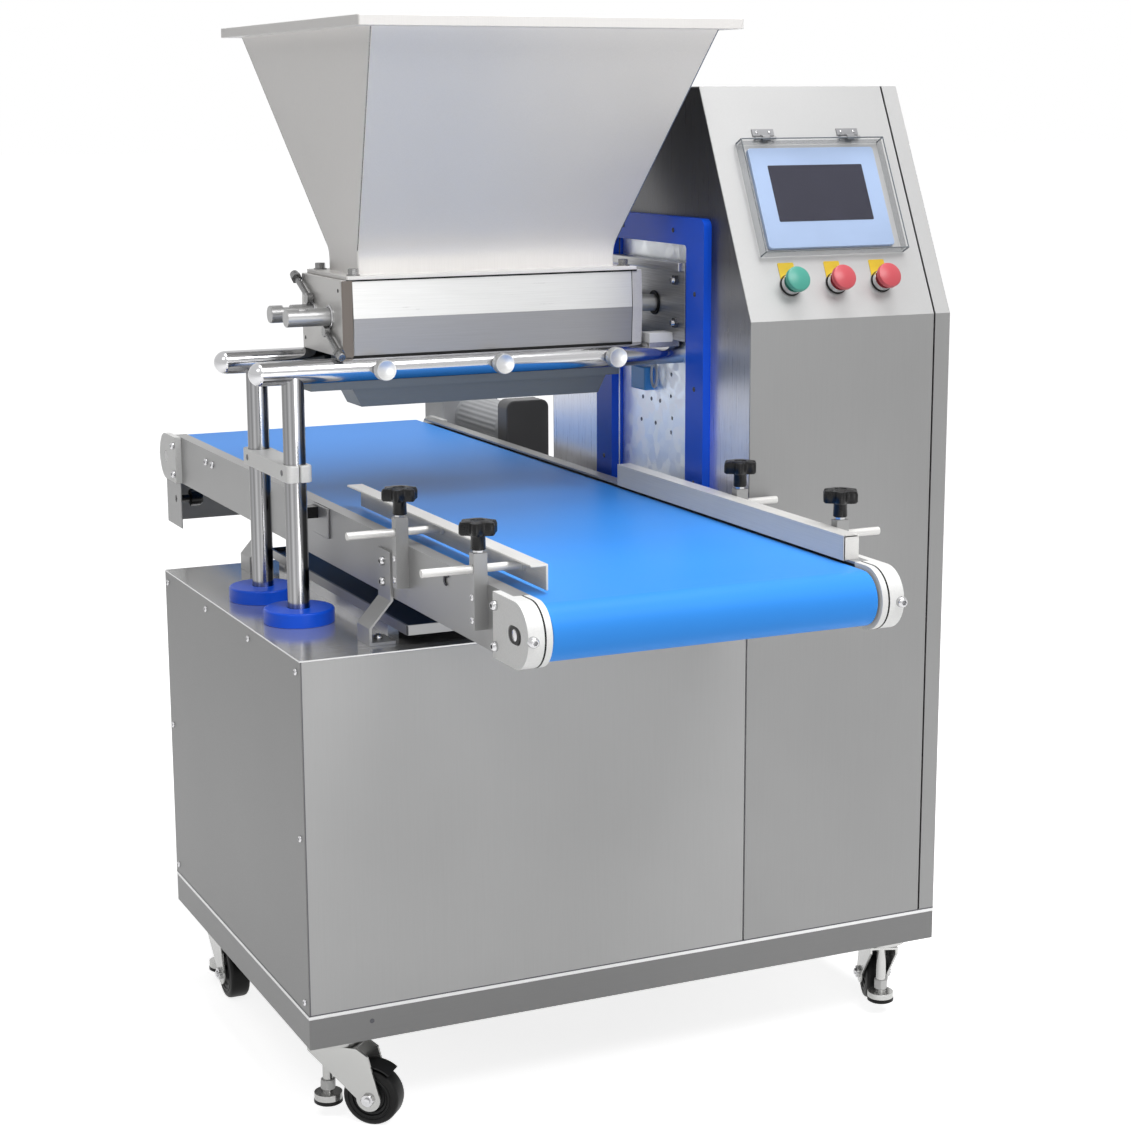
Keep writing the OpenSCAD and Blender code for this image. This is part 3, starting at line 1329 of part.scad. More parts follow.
// Bridge under the swivel bearing, two cheeks down to the axle and the levelling pad behind the swivel axis
module caster_fork(i) color(bright) at_caster(i) difference() {
  union() {
    box([-fork_back, -fork_w / 2, fork_z1 - caster_t], [fork_front, fork_w / 2, fork_z1]);
    for (y = [-fork_w / 2, fork_w / 2 - caster_t]) along_y(y, caster_t) {
      polygon([
        [-fork_back, fork_z1], [-fork_back, fork_z1 - fork_lip], [trail - fork_nose, axle_z],
        [trail + fork_nose, axle_z], [trail, fork_z1 - fork_lip], [fork_front, fork_z1]
      ]);
      translate([trail, axle_z]) circle(fork_nose);
    }
    rod_y(-fork_w / 2 - axle_head, fork_w / 2 + axle_head, trail, axle_z, axle_d);
    for (y = [-fork_w / 2 - axle_head, fork_w / 2]) rod_y(y, y + axle_head, trail, axle_z, axle_head_d);
    rod_z(pad_clear, pad_clear + pad_h, -pad_back, 0, pad_d);
    rod_z(pad_clear, fork_z1 - caster_t + cut, -pad_back, 0, pad_stem_d);
  }
  rod_z(fork_z1 - caster_t / 2 - clear, fork_z1 + cut, 0, 0, kingpin_d + 2 * run_fit);
}

module caster_wheel(i) color(black) at_caster(i) translate([trail, 0, axle_z]) rotate([90, 0, 0])
  rotate_extrude() polygon([
    [axle_d / 2 + run_fit, -wheel_w / 2], [hub_d / 4, -wheel_w / 2],
    [hub_d / 2 - hub_sink, hub_sink - wheel_w / 2], [hub_d / 2, -wheel_w / 2],
    [wheel_d / 2 - wheel_edge, -wheel_w / 2], [wheel_d / 2, wheel_edge - wheel_w / 2],
    [wheel_d / 2, wheel_w / 2 - wheel_edge], [wheel_d / 2 - wheel_edge, wheel_w / 2],
    [hub_d / 2, wheel_w / 2], [hub_d / 2 - hub_sink, wheel_w / 2 - hub_sink],
    [hub_d / 4, wheel_w / 2], [axle_d / 2 + run_fit, wheel_w / 2]
  ]);

module guide_knob_1() guide_knob(0);
module guide_knob_2() guide_knob(1);
module guide_knob_3() guide_knob(2);
module guide_knob_4() guide_knob(3);
module caster_fork_1() caster_fork(0);
module caster_fork_2() caster_fork(1);
module caster_fork_3() caster_fork(2);
module caster_fork_4() caster_fork(3);
module caster_wheel_1() caster_wheel(0);
module caster_wheel_2() caster_wheel(1);
module caster_wheel_3() caster_wheel(2);
module caster_wheel_4() caster_wheel(3);

base_frame();
left_side_panel();
front_panel();
rear_panels();
top_plate();
console_front_cover();
console_left_panel();
console_right_panel();
slot_frame();
frame_screws();
touch_screen();
cover_hinges();
screen_cover();
button_bases();
legend_plates();
start_button();
stop_button();
emergency_button();
post_collars();
lift_actuator();
lift_posts();
post_ties();
support_bars();
hopper();
roller_housing();
housing_end_plates();
nozzle_manifold();
thumb_screws();
head_bracket();
lift_plate();
head_bolts();
roller_motor();
feed_roller_front();
feed_roller_rear();
conveyor_frame();
belt_end_plates();
conveyor_belt();
drive_roller();
idler_roller();
conveyor_feet();
rear_guard();
belt_motor();
motor_fan_cover();
guide_blocks();
left_guide();
right_guide();
guide_knob_1();
guide_knob_2();
guide_knob_3();
guide_knob_4();
crumb_tray();
caster_plates();
caster_fork_1();
caster_fork_2();
caster_fork_3();
caster_fork_4();
caster_wheel_1();
caster_wheel_2();
caster_wheel_3();
caster_wheel_4();
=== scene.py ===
"""Finishes, rounded edges and small fittings of a cookie depositor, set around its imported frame."""

import json
import math

import bmesh
import bpy
from bpy.props import FloatProperty, FloatVectorProperty, PointerProperty
from bpy.types import Operator, Panel, PropertyGroup
from mathutils import Matrix, Vector


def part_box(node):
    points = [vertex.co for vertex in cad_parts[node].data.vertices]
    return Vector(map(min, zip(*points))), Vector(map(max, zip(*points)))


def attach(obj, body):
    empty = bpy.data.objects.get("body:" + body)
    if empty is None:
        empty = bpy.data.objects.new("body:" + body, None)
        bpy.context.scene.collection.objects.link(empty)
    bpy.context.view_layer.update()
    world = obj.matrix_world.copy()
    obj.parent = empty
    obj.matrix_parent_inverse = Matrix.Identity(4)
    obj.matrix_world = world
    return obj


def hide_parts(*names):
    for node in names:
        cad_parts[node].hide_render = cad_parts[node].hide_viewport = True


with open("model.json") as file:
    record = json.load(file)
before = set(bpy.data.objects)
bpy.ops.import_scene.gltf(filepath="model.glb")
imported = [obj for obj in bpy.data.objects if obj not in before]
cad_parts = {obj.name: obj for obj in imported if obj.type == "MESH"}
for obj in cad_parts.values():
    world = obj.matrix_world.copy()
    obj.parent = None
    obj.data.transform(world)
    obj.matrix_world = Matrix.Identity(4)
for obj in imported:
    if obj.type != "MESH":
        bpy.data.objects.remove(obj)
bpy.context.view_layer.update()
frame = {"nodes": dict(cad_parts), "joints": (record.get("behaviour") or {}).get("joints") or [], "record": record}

bl_info = {
    "name": "Cookie depositor",
    "version": (1, 0, 0),
    "blender": (4, 5, 0),
    "location": "View3D > Sidebar > Depositor",
    "description": "Gives a cookie depositor its finishes, rounded edges and small fittings",
    "category": "Object",
}

MM = 0.001
ROUND, SCREW_STEPS, WIRE_STEPS = 48, 24, 8
HEX = 6
SAME_POINT = MM / 1000
FACE_DEPTH = MM / 100
SHARP_ANGLE = math.radians(35)
BEVEL_ANGLE = math.radians(30)
FLAT_ANGLE = math.radians(0.4)
WHITE = (1.0, 1.0, 1.0, 1.0)
QUARTERS = ((1, 1), (-1, 1), (-1, -1), (1, -1))
FEED_JOINTS = ("front_feed_turn", "rear_feed_turn")
NODES = frame["nodes"]
JOINTS = {joint["name"]: joint for joint in frame["joints"]}
SLOT_OF = {part["node"]: part["material_slot"] for part in frame["record"]["subparts"]}
X, Y, Z = Vector((1, 0, 0)), Vector((0, 1, 0)), Vector((0, 0, 1))


# Property makers

def length(name, description, millimetres):
    """A size that the sidebar shows as a length, given in millimetres."""
    return FloatProperty(name=name, description=description, default=millimetres * MM, min=0.0,
                         precision=4, subtype="DISTANCE", unit="LENGTH")


def colour(name, description, *rgb):
    """A colour of a finish, in linear red, green and blue."""
    return FloatVectorProperty(name=name, description=description, default=rgb, min=0.0, max=1.0,
                               size=3, subtype="COLOR")


def share(name, description, value):
    """A number from 0 to 1."""
    return FloatProperty(name=name, description=description, default=value, min=0.0, max=1.0,
                         subtype="FACTOR")


def power(name, description, watts):
    """The strength of a lamp."""
    return FloatProperty(name=name, description=description, default=watts, min=0.0, unit="POWER")


def span(name, description, *millimetres):
    """A width, depth and height, given in millimetres."""
    return FloatVectorProperty(name=name, description=description, default=[v * MM for v in millimetres],
                               min=0.0, size=3, precision=4, subtype="XYZ_LENGTH", unit="LENGTH")


class DepositorColours(PropertyGroup):
    """Colours of the finishes"""
    sheet: colour("Sheet", "Satin stainless sheet of the cabinet", 0.38, 0.38, 0.38)
    # The base and the left side panel share this darker copy of the sheet; on the left side panel the darker tone
    # is painted shade.
    base: colour("Base", "Stainless sheet of base and left side", 0.195, 0.195, 0.195)
    tower: colour("Tower", "Stainless sheet of the console tower", 0.32, 0.32, 0.32)
    work_plate: colour("Work plate", "Glossy stainless sheet of the work plate", 0.62, 0.62, 0.62)
    # The slot panel's colour is a darker copy of the sheet, as painted shade; its height tone adds a painted
    # reflection low down and more painted shade high up.
    inner_panel: colour("Slot panel", "Darker sheet beside the slot", 0.24, 0.24, 0.25)
    hopper: colour("Hopper", "Bright stainless sheet of the hopper", 0.95, 0.93, 0.91)
    hopper_inside: colour("Hopper's inside", "Brushed sheet inside the hopper", 0.36, 0.36, 0.36)
    housing: colour("Housing", "Ground steel of the roller housing", 0.76, 0.76, 0.75)
    polished: colour("Polished bars", "Polished steel of posts and bars", 0.52, 0.52, 0.53)
    end_plate: colour("End plates", "Slightly warm steel of the housing's end plates", 0.60, 0.59, 0.575)
    # The left end plate's front edge is a darker copy of the end plates' steel: painted shade, which the right end
    # plate does not get.
    plate_edge: colour("Plate edge", "Brownish front edge of the left end plate", 0.14, 0.12, 0.105)
    # The lower plates' darker colour is painted shade on the housing's lower half, which faces down; the hinges
    # use the same darker steel.
    lower_plate: colour("Lower plates", "Darker plates on the housing's lower half", 0.29, 0.29, 0.30)
    bracket: colour("Bracket", "Brushed steel of the bracket plate", 0.44, 0.44, 0.44)
    shafts: colour("Shafts", "Satin steel of the feed rollers", 0.44, 0.44, 0.44)
    dark: colour("Dark steel", "Blackened small screws", 0.09, 0.09, 0.10)
    bolts: colour("Bolts", "Grey bolts on hopper and end plates", 0.24, 0.24, 0.24)
    manifold: colour("Manifold", "Darker metal of the nozzle manifold", 0.13, 0.15, 0.17)
    aluminium: colour("Aluminium", "Satin aluminium blocks and plates", 0.90, 0.90, 0.89)
    guides: colour("Guides", "Pale sheet of the side guides", 0.88, 0.87, 0.85)
    conveyor: colour("Conveyor steel", "Steel of the conveyor's rails and plates", 0.37, 0.37, 0.37)
    white: colour("White plastic", "White nuts and pads", 0.80, 0.80, 0.79)
    sensor: colour("Sensor", "Blue sensor block", 0.08, 0.42, 1.0)
    galvanised: colour("Galvanised sheet", "Sliding plate behind the slot", 0.95, 0.98, 1.0)
    zinc: colour("Zinc", "Zinc plating of the casters", 0.48, 0.48, 0.47)
    blue: colour("Blue plastic", "Royal blue collars and slot frame", 0.004, 0.108, 0.88)
    belt: colour("Belt", "Matt blue food belt", 0.05, 0.34, 1.0)
    belt_light: colour("Light off the belt", "Tint of the light that the belt passes on", 0.34, 0.36, 0.39)
    bezel: colour("Screen front", "Pale blue front of the touch screen", 0.42, 0.55, 0.80)
    display: colour("Display", "Dark glass of the touch screen", 0.028, 0.028, 0.046)
    yellow: colour("Yellow plates", "Plates behind the buttons", 0.90, 0.62, 0.03)
    green: colour("Green button", "Start button's cap", 0.07, 0.36, 0.285)
    red: colour("Red buttons", "Stop and emergency buttons' caps", 0.60, 0.085, 0.105)
    black: colour("Black plastic", "Knobs and covers", 0.007, 0.007, 0.0075)
    rubber: colour("Rubber", "Wheels, gaskets and pads", 0.006, 0.006, 0.006)
    tray: colour("Tray", "Dark coat of the crumb tray", 0.020, 0.023, 0.034)
    motor: colour("Motor", "Grey casting of the motors", 0.50, 0.51, 0.53)
    fan_cover: colour("Fan cover", "Dark grey coat of the motor's fan cover", 0.10, 0.10, 0.105)
    cover_edge: colour("Cover edges", "Edges of the clear cover", 0.17, 0.19, 0.21)
    # The hem's bright colour is a painted highlight along the base's top edge.
    hem: colour("Hem", "Folded edge along the base", 0.80, 0.80, 0.80)


class DepositorEdges(PropertyGroup):
    """Radii of the rounded edges"""
    sheet: length("Sheet edges", "Round of sheet-metal edges and folds", 0.7)
    block: length("Block edges", "Round of milled blocks", 1.0)
    pressed: length("Pressed edges", "Round of pressed steel parts", 1.4)
    moulded: length("Moulded edges", "Round of plastic parts", 2.2)
    frame: length("Slot frame edges", "Chamfer of the slot frame", 4.0)


class DepositorCabinet(PropertyGroup):
    """Sizes of the seams on base and cabinet, with the hem that carries a painted highlight"""
    hem: length("Hem", "Height of the bright folded edge along the base", 4.5)
    joint: length("Joint", "Height of the dark joint above the base", 1.6)
    proud: length("Proud", "How far a thin piece stands out of the face that carries it", 0.3)
    hole_r: length("Drain hole", "Radius of the hole in the base's front", 3.2)
    hole_x: length("Drain hole place", "Distance of that hole from the left side", 86.0)
    hole_z: length("Drain hole height", "Height of that hole above the floor", 151.0)


class DepositorScreen(PropertyGroup):
    """Sizes of the touch screen's fittings"""
    edge_r: length("Cover edges", "Radius of the clear cover's visible edges", 1.1)
    display_w: length("Display width", "Width of the dark display", 150.0)
    display_h: length("Display height", "Height of the dark display", 83.0)
    display_up: length("Display shift", "Distance of the display above the bezel's middle", 6.0)
    display_r: length("Display corners", "Radius of the display's corners", 1.5)
    glass: length("Glass", "Height of the display's glass above the bezel", 0.4)
    leaf: length("Hinge leaf", "Length of a hinge leaf", 10.0)
    leaf_t: length("Hinge leaf thickness", "Thickness of a hinge leaf", 2.0)
    screw_r: length("Hinge screw radius", "Radius of the hinge screws' heads", 2.3)
    screw_h: length("Hinge screw height", "Height of the hinge screws' heads", 1.3)


class DepositorButtons(PropertyGroup):
    """Sizes of the push buttons"""
    cap_r: length("Cap radius", "Radius of the mushroom caps", 17.5)
    cap_h: length("Cap height", "Thickness of the mushroom caps", 10.5)
    dome: length("Dome", "Height of the caps' domed face", 2.4)
    stem_r: length("Stem radius", "Radius of the stems", 7.0)
    stem: length("Stem", "Length of the stems behind the caps", 35.0)
    plate_w: length("Plate width", "Width of the yellow plates", 25.0)
    plate_low: length("Plate foot", "How far the yellow plates reach below the buttons' axes", 4.0)
    # The dark ring under each collar is a painted shadow.
    ring_r: length("Gasket radius", "Outer radius of the gasket under a collar", 15.6)
    ring_t: length("Gasket", "Thickness of the gasket under a collar", 1.2)


class DepositorHopper(PropertyGroup):
    """Sizes of the hopper"""
    wall: length("Wall", "Sheet thickness of the hopper", 2.0)
    rim_w: length("Rim width", "Width of the rim round the mouth", 24.0)
    rim_h: length("Rim height", "Height of the rim round the mouth", 13.0)
    flange_w: length("Flange width", "Width of the flange under the neck", 431.0)
    flange_d: length("Flange depth", "Depth of the flange under the neck", 166.0)
    flange_t: length("Flange", "Thickness of the flange under the neck", 5.0)
    neck_w: length("Neck width", "Width of the neck", 382.0)
    neck_d: length("Neck depth", "Depth of the neck", 116.0)
    neck_h: length("Neck height", "Height of the neck", 28.0)
    bend: length("Bend", "Half the height of the soft bend above the neck", 13.0)
    corner: length("Corners", "Radius of the upright corners", 3.0)
    seam_r: length("Seam", "Radius of the welded seams along the corners", 0.8)


class DepositorHousing(PropertyGroup):
    """Sizes of the roller housing's fittings"""
    bulge: length("Bulge", "Bulge of the housing at half height", 3.0)
    joint: length("Dark joint", "Thickness of the dark joints beside the end plates", 1.0)
    proud: length("Proud", "How far a thin piece stands out of the face that carries it", 0.25)
    plate: length("Lower plates", "Thickness of the plates on the lower half", 1.2)
    clip_r: length("Clip radius", "Radius of the retaining clips on the shafts", 16.0)
    clip_t: length("Clip", "Thickness of the retaining clips", 2.5)
    rod_r: length("Swing bolt radius", "Radius of the swing bolts' rods", 4.0)
    eye_r: length("Swing bolt eye", "Radius of the swing bolts' eyes", 7.5)
    head_r: length("Swing bolt head radius", "Radius of the swing bolts' heads", 8.0)
    head_h: length("Swing bolt head", "Height of the swing bolts' heads", 12.0)
    stand: length("Swing bolt stand", "Distance of the swing bolts from the end plate", 6.0)
    hole_r: length("Tapped holes", "Radius of the small holes in the end plate", 2.6)


class DepositorRollers(PropertyGroup):
    """Sizes of the feed rollers"""
    shaft_r: length("Shaft radius", "Radius of the shafts", 12.0)
    body_r: length("Roller radius", "Radius of the rollers over their lands", 33.0)
    flute_r: length("Flute radius", "Radius of the flutes", 4.5)
    gear_r: length("Gear radius", "Radius of the gears' pitch circles", 35.0)
    gear_t: length("Gear", "Thickness of the gears", 12.0)
    tooth: length("Tooth", "Height of a tooth above the pitch circle", 3.0)
    groove: length("Ring groove", "Depth of the retaining ring's groove", 1.0)
    ring_w: length("Ring groove width", "Width of the retaining ring's groove", 2.0)
    notch_from: length("Notch start", "Distance of the notch from the shaft's free end", 18.0)
    notch_len: length("Notch", "Length of the notch", 13.0)
    notch_flat: length("Notch flat", "Distance of the notch's flat from the axis", 8.6)
    chamfer: length("Chamfer", "Chamfer of the shafts' ends", 1.2)


class DepositorLift(PropertyGroup):
    """Sizes of the fittings on the lift and the bracket"""
    screw_r: length("Clamp screw radius", "Radius of the clamp block's set screws", 4.2)
    strip_w: length("Bracket strip", "Width of the strip on the bracket plate", 9.0)
    strip_h: length("Bracket strip height", "Height of the strip on the bracket plate", 12.0)
    sensor: span("Sensor", "Size of the blue sensor block", 16.0, 46.0, 34.0)
    sensor_drop: length("Sensor drop", "Distance of the sensor below the support bars", 14.0)
    ring_r: length("Sensor ring", "Radius of the cable ring beside the sensor", 15.0)
    ring_wire: length("Sensor ring wire", "Radius of that ring's wire", 2.0)
    pad: span("Bar pad", "Size of the white pads on the support bars", 37.0, 27.2, 14.0)
    seal_r: length("Shaft seal radius", "Radius of the dark seals round the shafts", 17.5)
    seal_t: length("Shaft seal", "Thickness of the dark seals round the shafts", 2.0)
    hole_r: length("Plate holes", "Radius of the small holes in the sliding plate", 3.0)


class DepositorConveyor(PropertyGroup):
    """Sizes of the conveyor's fittings"""
    seam: length("Plate seam", "Width of the dark line in the end plates", 2.2)
    seam_in: length("Seam depth", "Distance of the dark line from the outer face", 21.0)
    proud: length("Proud", "How far a thin piece stands out of the face that carries it", 0.2)
    slot_w: length("Tension slot", "Length of the dark slots in the front end plates", 29.0)
    slot_h: length("Tension slot height", "Height of the dark slots in the front end plates", 21.0)
    end_r: length("Shaft end", "Radius of the bright shaft ends in those slots", 7.0)
    nose_r: length("Nose radius", "Radius of the end plates' round ends", 39.0)
    plate_len: length("Plate length", "Length of the nose blocks behind the rollers' axes", 25.0)
    screw_r: length("Rail screw radius", "Radius of the domed screws on the rails", 6.0)
    screw_h: length("Rail screw height", "Height of the domed screws on the rails", 4.0)
    block_screw_r: length("Block screw radius", "Radius of the screws in the clamp blocks", 4.5)
    bracket: span("Sensor bracket", "Size of the sensor bracket on the left rail", 3.0, 66.0, 42.0)
    eye: span("Belt sensor", "Size of the black belt sensor", 16.0, 20.0, 16.0)
    hook_r: length("Rail hook", "Radius of the small hook on the left rail", 6.0)
    hook_wire: length("Rail hook wire", "Radius of the hook's wire", 1.5)
    guard_knob_r: length("Guard knob", "Radius of the knob under the drive end", 15.0)
    guard_knob_h: length("Guard knob height", "Height of the knob under the drive end", 22.0)
    guide_lip: length("Guide lip", "Width of the side guides' lips", 22.0)
    guide_t: length("Guide sheet", "Thickness of the side guides", 2.5)
    guide_bend: length("Guide bend", "Radius of the side guides' bends", 5.0)
    tray_rim: length("Tray rim", "Width of the bright rim round the crumb tray", 3.0)


class DepositorKnobs(PropertyGroup):
    """Sizes of the star knobs"""
    head_r: length("Head radius", "Radius of the star over its lobes", 24.0)
    head_h: length("Head height", "Height of the star", 17.0)
    lobe: length("Lobes", "Depth of the valleys between the lobes", 6.4)
    hub_r: length("Hub radius", "Radius of the hub", 9.0)
    hub_h: length("Hub height", "Height of the hub", 18.0)
    nut_r: length("Nut radius", "Radius of the nut under the hub", 6.5)
    nut_h: length("Nut height", "Height of the nut under the hub", 3.0)
    screw_r: length("Screw radius", "Radius of the clamp screw", 4.0)


class DepositorDrive(PropertyGroup):
    """Sizes of the belt motor's fittings"""
    fin: length("Fin", "Height of the motor's cooling fins", 0.8)
    fin_gap: length("Fin ends", "Bare length of the motor at both ends of its fins", 12.0)
    gearbox: length("Gearbox", "Depth of the gearbox along the belt", 88.0)


class DepositorCasters(PropertyGroup):
    """Sizes of the casters"""
    wheel_r: length("Wheel radius", "Radius of the wheels", 39.0)
    wheel_half: length("Half width", "Half the width of the wheels", 15.0)
    hub_r: length("Hub radius", "Radius of the wheels' hubs", 24.0)
    bore_r: length("Bore radius", "Radius of the wheels' bores", 5.2)
    fork_half: length("Half fork", "Half the width of the forks", 21.0)
    nut_r: length("Axle nut radius", "Radius of the axle nuts over their corners", 9.2)
    nut_h: length("Axle nut height", "Height of the axle nuts", 5.0)
    hood_r: length("Hood radius", "Radius of the hood over the wheel", 43.0)
    hood_t: length("Hood", "Thickness of the hood", 2.0)
    hood_half: length("Half hood", "Half the width of the hood", 16.2)
    race_r: length("Race radius", "Inner radius of the ball race's outer ring", 31.2)
    race_lip: length("Race lip", "How far the race's ring bulges out", 6.0)
    race_h: length("Race height", "Height of the race's ring", 9.0)
    pad_r: length("Pad radius", "Radius of the levelling pads", 19.0)
    pad_back: length("Pad place", "Distance of the levelling pads behind the swivel axes", 10.0)
    pad_z: length("Pad height", "Height of the levelling pads above the floor", 25.0)
    rubber: length("Pad rubber", "Thickness of the rubber under the levelling pads", 6.0)
    stem_nut_r: length("Stem nut radius", "Radius of the white nuts on the pads' stems", 10.5)
    stem_nut_h: length("Stem nut height", "Height of the white nuts on the pads' stems", 13.0)
    stem_nut_up: length("Stem nut place", "Distance of the white nuts above the pads", 14.0)


class DepositorStage(PropertyGroup):
    """Camera and light"""
    lens: FloatProperty(name="Lens", description="Focal length in millimetres on a 36 mm sensor",
                        default=72.66, min=1.0)
    camera: FloatVectorProperty(name="Camera", description="Place of the camera", size=3,
                                default=(-1.34060, -3.03380, 1.33148), subtype="TRANSLATION", unit="LENGTH")
    heading: FloatProperty(name="Heading", description="Turn of the camera about the upright axis",
                           default=math.radians(-24.7277), subtype="ANGLE", unit="ROTATION")
    pitch: FloatProperty(name="Pitch", description="How far the camera looks down",
                         default=math.radians(11.4538), subtype="ANGLE", unit="ROTATION")
    roll: FloatProperty(name="Roll", description="Turn of the camera about its view",
                        default=math.radians(-0.2513), subtype="ANGLE", unit="ROTATION")
    key: power("Key lamp", "Large lamp high in front", 68.0)
    top: power("Top lamp", "Large lamp overhead", 80.0)
    front: power("Front lamp", "Large lamp low in front", 22.0)
    side: power("Side lamp", "Lamp high at the left", 16.0)
    ambient: share("Ambient light", "Strength of the light from all sides", 0.075)
    floor: colour("Floor", "Pale floor", 0.80, 0.80, 0.80)
    # Near the machine the floor is given less brightness than farther out: painted shade round the machine's foot,
    # besides its real cast shadow.
    floor_lift: share("Floor lift", "Brightness added to the floor where it is seen near the machine", 0.78)
    floor_near: length("Near floor", "Distance from which the floor grows brighter", 200.0)
    floor_far: length("Far floor", "Distance from which the floor is as bright as the surroundings", 1150.0)


# Materials

def add(tree, kind, inputs=None, **settings):
    """A new shader node, with its settings and with its inputs linked or set."""
    node = tree.nodes.new("ShaderNode" + kind)
    for name, value in settings.items():
        setattr(node, name, value)
    for key, value in (inputs or {}).items():
        if isinstance(value, bpy.types.NodeSocket):
            tree.links.new(value, node.inputs[key])
        else:
            node.inputs[key].default_value = value
    return node


def shader_group(name, inputs, output):
    """A new group of shader nodes, with the sockets that it is given and one value that it puts out."""
    tree = bpy.data.node_groups.new(name, "ShaderNodeTree")
    for label, default in inputs.items():
        kind = "NodeSocketFloat" if isinstance(default, float) else "NodeSocketVector"
        tree.interface.new_socket(label, in_out="INPUT", socket_type=kind).default_value = default
    tree.interface.new_socket(output, in_out="OUTPUT", socket_type="NodeSocketFloat")
    return tree, tree.nodes.new("NodeGroupInput").outputs, tree.nodes.new("NodeGroupOutput").inputs[output]


def brushed_grain():
    """Fine parallel scratches: noise on the object's coordinates, drawn out along one direction."""
    tree, given, grain = shader_group("Brushed grain", {"Stretch": (1.0, 1.0, 1.0)}, "Grain")
    place = add(tree, "TexCoord").outputs["Object"]
    drawn = add(tree, "VectorMath", {0: place, 1: given["Stretch"]}, operation="MULTIPLY")
    noise = add(tree, "TexNoise", {"Vector": drawn.outputs[0], "Scale": 1.0, "Detail": 3.0, "Roughness": 0.6})
    tree.links.new(noise.outputs[0], grain)
    return tree


def cloudy_tone():
    """Soft clouds of lighter and darker tone, between two values."""
    tree, given, tone = shader_group("Cloudy tone", {"Scale": 3.0, "Low": 0.95, "High": 1.05}, "Tone")
    place = add(tree, "TexCoord").outputs["Object"]
    noise = add(tree, "TexNoise", {"Vector": place, "Scale": given["Scale"], "Detail": 3.0})
    tree.links.new(spread(tree, noise.outputs[0], given["Low"], given["High"], 0.3, 0.7), tone)
    return tree


def spangle():
    """Crystal flakes of hot-dip galvanised sheet."""
    tree, given, flake = shader_group("Spangle", {"Scale": 60.0}, "Flake")
    place = add(tree, "TexCoord").outputs["Object"]
    cells = add(tree, "TexVoronoi", {"Vector": place, "Scale": given["Scale"], "Randomness": 1.0})
    grey = add(tree, "SeparateColor", {0: cells.outputs["Color"]})
    tree.links.new(grey.outputs[0], flake)
    return tree


GROUPS = {}
MATERIALS = {}


def use(tree, group, **values):
    """The output of a shared group, placed in a material with its own values."""
    if group not in GROUPS:
        GROUPS[group] = group()
    node = tree.nodes.new("ShaderNodeGroup")
    node.node_tree = GROUPS[group]
    for label, value in values.items():
        node.inputs[label].default_value = value
    return node.outputs[0]


def new_finish(name, **plain):
    """A material with a Principled shader whose plain values are set on its own sockets."""
    material = bpy.data.materials.new(name)
    material.use_nodes = True
    tree = material.node_tree
    shader = next(node for node in tree.nodes if node.type == "BSDF_PRINCIPLED")
    for label, value in plain.items():
        shader.inputs[label.replace("_", " ")].default_value = value
    return material, tree, shader


def spread(tree, value, low, high, start=0.25, end=0.75):
    """A value drawn from the range between start and end to the one between low and high."""
    return add(tree, "MapRange", {"Value": value, "From Min": start, "From Max": end,
                                  "To Min": low, "To Max": high}).outputs[0]


def combine(tree, operation, *values):
    """The result of a math node on one or two values."""
    return add(tree, "Math", dict(enumerate(values)), operation=operation).outputs[0]


def shade(tree, rgb, *tones):
    """A colour times some tones."""
    result = add(tree, "VectorMath", {0: rgb, "Scale": tones[0]}, operation="SCALE")
    for tone in tones[1:]:
        result = add(tree, "VectorMath", {0: result.outputs[0], "Scale": tone}, operation="SCALE")
    return result.outputs[0]


def feed(tree, shader, base, rough, height=None, strength=0.1, depth=0.2):
    """Links a finish's changing colour, roughness and relief to its shader; depth is in millimetres."""
    tree.links.new(base, shader.inputs["Base Color"])
    tree.links.new(rough, shader.inputs["Roughness"])
    if height is not None:
        bump = add(tree, "Bump", {"Height": height, "Strength": strength, "Distance": depth * MM})
        tree.links.new(bump.outputs[0], shader.inputs["Normal"])


def painted_reflection_and_shade():
    """Painted reflection and shade: one tone at the foot and another at the top, and a slide between them by
    height.
    """
    ends = {"Foot": 0.0, "Top": 1.0, "Low": 1.0, "High": 1.0}
    tree, given, tone = shader_group("Height tone", ends, "Tone")
    place = add(tree, "SeparateXYZ", {0: add(tree, "TexCoord").outputs["Object"]})
    slide = spread(tree, place.outputs["Z"], given["Low"], given["High"], given["Foot"], given["Top"])
    tree.links.new(slide, tone)
    return tree


def painted_slope_light():
    """Painted light: 1 on upright faces and more on faces that lean back, which brightens the console's leaning
    face.
    """
    tree, given, tone = shader_group("Lean tone", {"Lean": 1.5}, "Tone")
    normal = add(tree, "SeparateXYZ", {0: add(tree, "NewGeometry").outputs["Normal"]})
    tree.links.new(spread(tree, normal.outputs["Z"], 1.0, given["Lean"], 0.2, 0.4), tone)
    return tree


def painted_reflection_streaks():
    """Painted reflections: light and dark streaks round an upright bar, by the heading of its surface."""
    tree, given, tone = shader_group("Side tone", {"Across": (1.0, 0.0, 0.0)}, "Tone")
    normal = add(tree, "NewGeometry").outputs["Normal"]
    across = add(tree, "VectorMath", {0: normal, 1: given["Across"]}, operation="DOT_PRODUCT")
    ramp = add(tree, "ValToRGB", {0: spread(tree, across.outputs["Value"], 0.0, 1.0, -1.0, 1.0)})
    for spot, level in PAINTED_STREAK_STOPS:
        stop = ramp.color_ramp.elements.new(spot)
        stop.color = (level, level, level, 1.0)
    grey = add(tree, "SeparateColor", {0: ramp.outputs[0]})
    tree.links.new(grey.outputs[0], tone)
    return tree


# Directions of a grain, the skin of moulded parts, and the painted light, shade and reflections of single finishes

